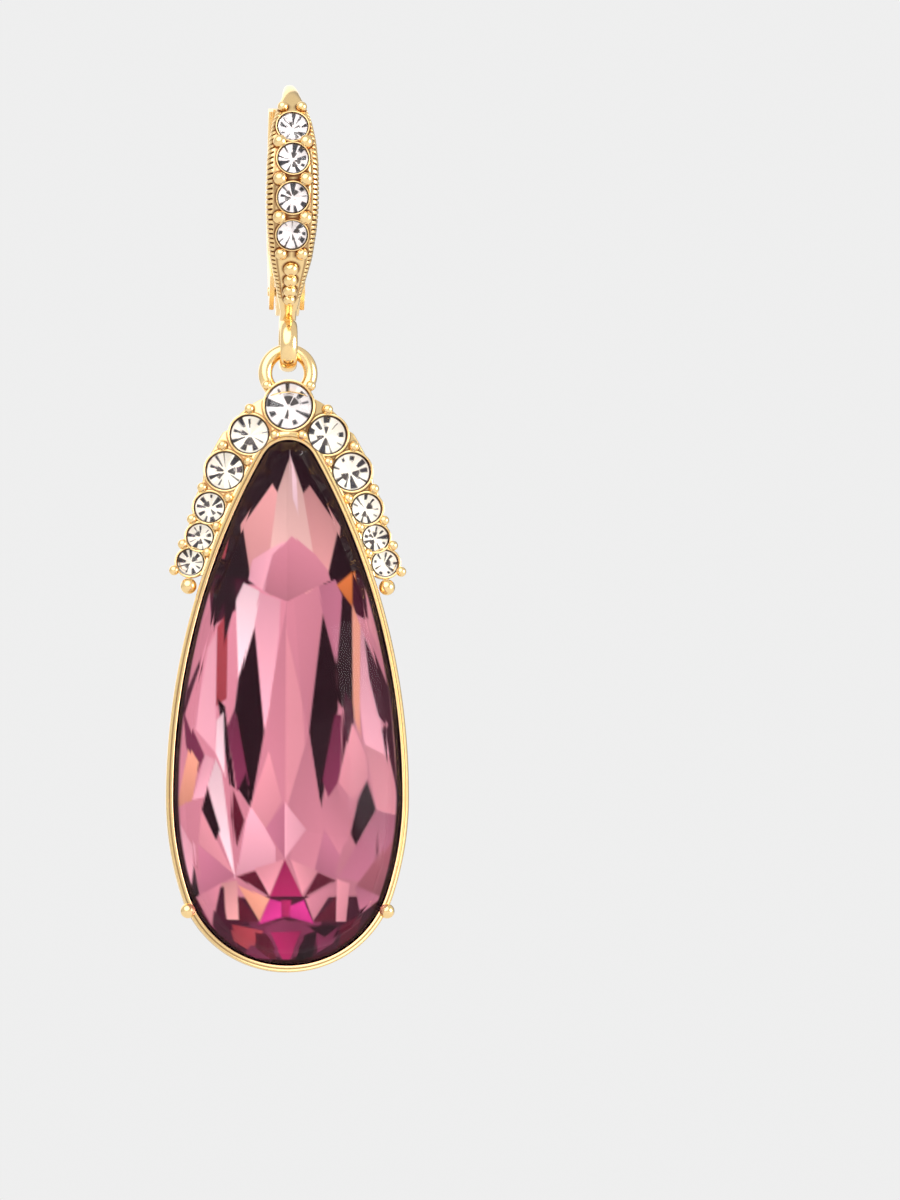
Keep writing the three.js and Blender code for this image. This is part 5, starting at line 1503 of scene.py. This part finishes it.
class EarringSettings(bpy.types.PropertyGroup):
    """Colours and sizes of the earring that a user may change"""

    gold_light: bpy.props.FloatVectorProperty(
        name="Gold", description="Colour of the plated gold where it is open",
        subtype="COLOR", size=3, min=0, max=1, default=(0.97, 0.7, 0.34))
    # Colour that the painted shade gives the gold in its recesses
    gold_painted_shade: bpy.props.FloatVectorProperty(
        name="Gold in painted shade", description="Colour of the painted shade on the gold where it is closed in",
        subtype="COLOR", size=3, min=0, max=1, default=(0.17, 0.042, 0.008))
    gold_smoothness: bpy.props.FloatProperty(
        name="Gold roughness", description="Least roughness of the gold",
        subtype="FACTOR", min=0, max=1, default=0.12)
    rose_glass: bpy.props.FloatVectorProperty(
        name="Rose glass", description="Tint of the teardrop stone's glass",
        subtype="COLOR", size=3, min=0, max=1, default=(0.97, 0.68, 0.78))
    clear_glass: bpy.props.FloatVectorProperty(
        name="Clear glass", description="Tint of the round stones",
        subtype="COLOR", size=3, min=0, max=1, default=(0.99, 0.98, 0.96))
    # Painted light: a share of the foil's colour glows, though the foil is no lamp
    foil_glow: bpy.props.FloatProperty(
        name="Foil glow", description="Share of the foil's colour that shines on its own",
        subtype="FACTOR", min=0, max=1, default=0.3)
    backdrop: bpy.props.FloatVectorProperty(
        name="Backdrop", description="Colour of the floor and of the space behind",
        subtype="COLOR", size=3, min=0, max=1, default=(0.86, 0.86, 0.86))
    room_light: bpy.props.FloatProperty(
        name="Room light", description="Light from all round, as a share of what the camera sees of it",
        subtype="FACTOR", min=0, max=1, default=0.88)
    floor_depth: bpy.props.FloatProperty(
        name="Floor depth", description="How far the floor lies under the top of the ear wire",
        subtype="DISTANCE", unit="LENGTH", min=0.06, max=1, default=0.12)
    lens: bpy.props.FloatProperty(
        name="Lens", description="Focal length of the camera in millimetres", min=35, max=400, default=150)


def settings():
    """The earring's settings in the current scene."""
    return bpy.context.scene.earring_settings


class EARRING_OT_hoop(bpy.types.Operator):
    """Make the gold ear hoop with its ribs, beads, collars, eye, tang and tongue"""

    bl_idname = "earring.hoop"
    bl_label = "Ear hoop"

    def execute(self, context):
        s = settings()
        gold = gold_material("Hoop Gold", s, s.gold_smoothness, 1600)
        hoop = hoop_line()
        shells = [hoop_body(hoop)] + strip_details(hoop) + eye_shells() + tang_shells(hoop)
        new_piece("ear_hoop_gold", shells, gold, "hoop", ("ear_hoop",))
        return {"FINISHED"}


class EARRING_OT_lever(bpy.types.Operator):
    """Make the gold lever and its hinge pin"""

    bl_idname = "earring.lever"
    bl_label = "Lever and pin"

    def execute(self, context):
        s = settings()
        gold = gold_material("Lever Gold", s, s.gold_smoothness + 0.04, 900)
        new_piece("ear_lever_gold", lever_shells(), gold, "lever", ("ear_lever",))
        bar = pin_bar(PIN_RADIUS, LEVER_WIDTH / 2 + PIN_HEAD_STANDS, PIN_HEAD_BEND)
        new_piece("lever_pin_gold", [bar], gold, "hoop", ("lever_pin",))
        return {"FINISHED"}


class EARRING_OT_setting(bpy.types.Operator):
    """Make the gold setting of the drop: cup, cap, collars, beads, prongs and bail ring"""

    bl_idname = "earring.setting"
    bl_label = "Drop setting"

    def execute(self, context):
        s = settings()
        gold = gold_material("Setting Gold", s, s.gold_smoothness, 1400)
        new_piece("drop_setting_gold", setting_shells(), gold, "drop", ("drop_setting",))
        return {"FINISHED"}


class EARRING_OT_teardrop(bpy.types.Operator):
    """Dress the teardrop stone in glass and lay the foil behind it"""

    bl_idname = "earring.teardrop"
    bl_label = "Teardrop stone"

    def execute(self, context):
        s = settings()
        dress_nodes(("teardrop_stone",), glass_material("Rose Glass", s.rose_glass, 1.05, 0.08))
        foil = foil_material("Rose Foil", s.foil_glow)
        piece = new_object("teardrop_foil", teardrop_foil(s.rose_glass), foil)
        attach(piece, "drop")
        return {"FINISHED"}


class EARRING_OT_round_stones(bpy.types.Operator):
    """Dress the round stones in glass and lay their foils"""

    bl_idname = "earring.round_stones"
    bl_label = "Round stones"

    def execute(self, context):
        s = settings()
        glass = glass_material("Clear Glass", s.clear_glass, 1.15, 0.3)
        dress_nodes([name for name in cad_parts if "_stone_" in name], glass)
        foil = foil_material("Clear Foil", s.foil_glow)
        hoop = hoop_line()
        sink = HOOP_STONE_RADIUS * ROUND_GIRDLE - HOOP_COLLAR
        cones = []
        for i, along in enumerate(HOOP_STONES_ALONG):
            place, out = on_strip(hoop, along, 0, sink)
            cones.append(round_foil(place, out, HOOP_STONE_RADIUS, HOOP_FOIL_SEED + i, COOL_FOIL))
        foil_piece("hoop_stone_foils", cones, foil, "hoop")
        cones = []
        for i, (x, z, radius) in enumerate(all_seats()):
            place, out = seat_place(x, z)
            cones.append(round_foil(place, out, radius, CAP_FOIL_SEED + i, WARM_FOIL if i else COOL_FOIL))
        foil_piece("cap_stone_foils", cones, foil, "drop")
        return {"FINISHED"}


class EARRING_OT_stage(bpy.types.Operator):
    """Set the pale floor, the soft lights and the camera"""

    bl_idname = "earring.stage"
    bl_label = "Studio"

    def execute(self, context):
        s = settings()
        studio_floor(s)
        studio_world(s)
        studio_lights()
        context.scene.view_settings.view_transform = "Standard"
        set_camera(s.lens)
        return {"FINISHED"}


class EARRING_PT_panel(bpy.types.Panel):
    """Settings and makers of the earring"""

    bl_idname = "EARRING_PT_panel"
    bl_label = "Teardrop Earring"
    bl_space_type = "VIEW_3D"
    bl_region_type = "UI"
    bl_category = "Earring"

    def draw(self, context):
        layout = self.layout
        for name in EarringSettings.__annotations__:
            layout.prop(context.scene.earring_settings, name)
        for maker in MAKERS:
            layout.operator(maker.bl_idname)


MAKERS = (
    EARRING_OT_hoop,
    EARRING_OT_lever,
    EARRING_OT_setting,
    EARRING_OT_teardrop,
    EARRING_OT_round_stones,
    EARRING_OT_stage,
)
CLASSES = (EarringSettings, *MAKERS, EARRING_PT_panel)


def register():
    """Registers the classes and the scene's settings."""
    for one in CLASSES:
        bpy.utils.register_class(one)
    bpy.types.Scene.earring_settings = bpy.props.PointerProperty(type=EarringSettings)


def unregister():
    """Removes the settings and the classes."""
    del bpy.types.Scene.earring_settings
    for one in reversed(CLASSES):
        bpy.utils.unregister_class(one)


def main():
    """Makes every piece and the stage."""
    register()
    bpy.ops.earring.hoop()
    bpy.ops.earring.lever()
    bpy.ops.earring.setting()
    bpy.ops.earring.teardrop()
    bpy.ops.earring.round_stones()
    bpy.ops.earring.stage()


if __name__ == "__main__":
    main()
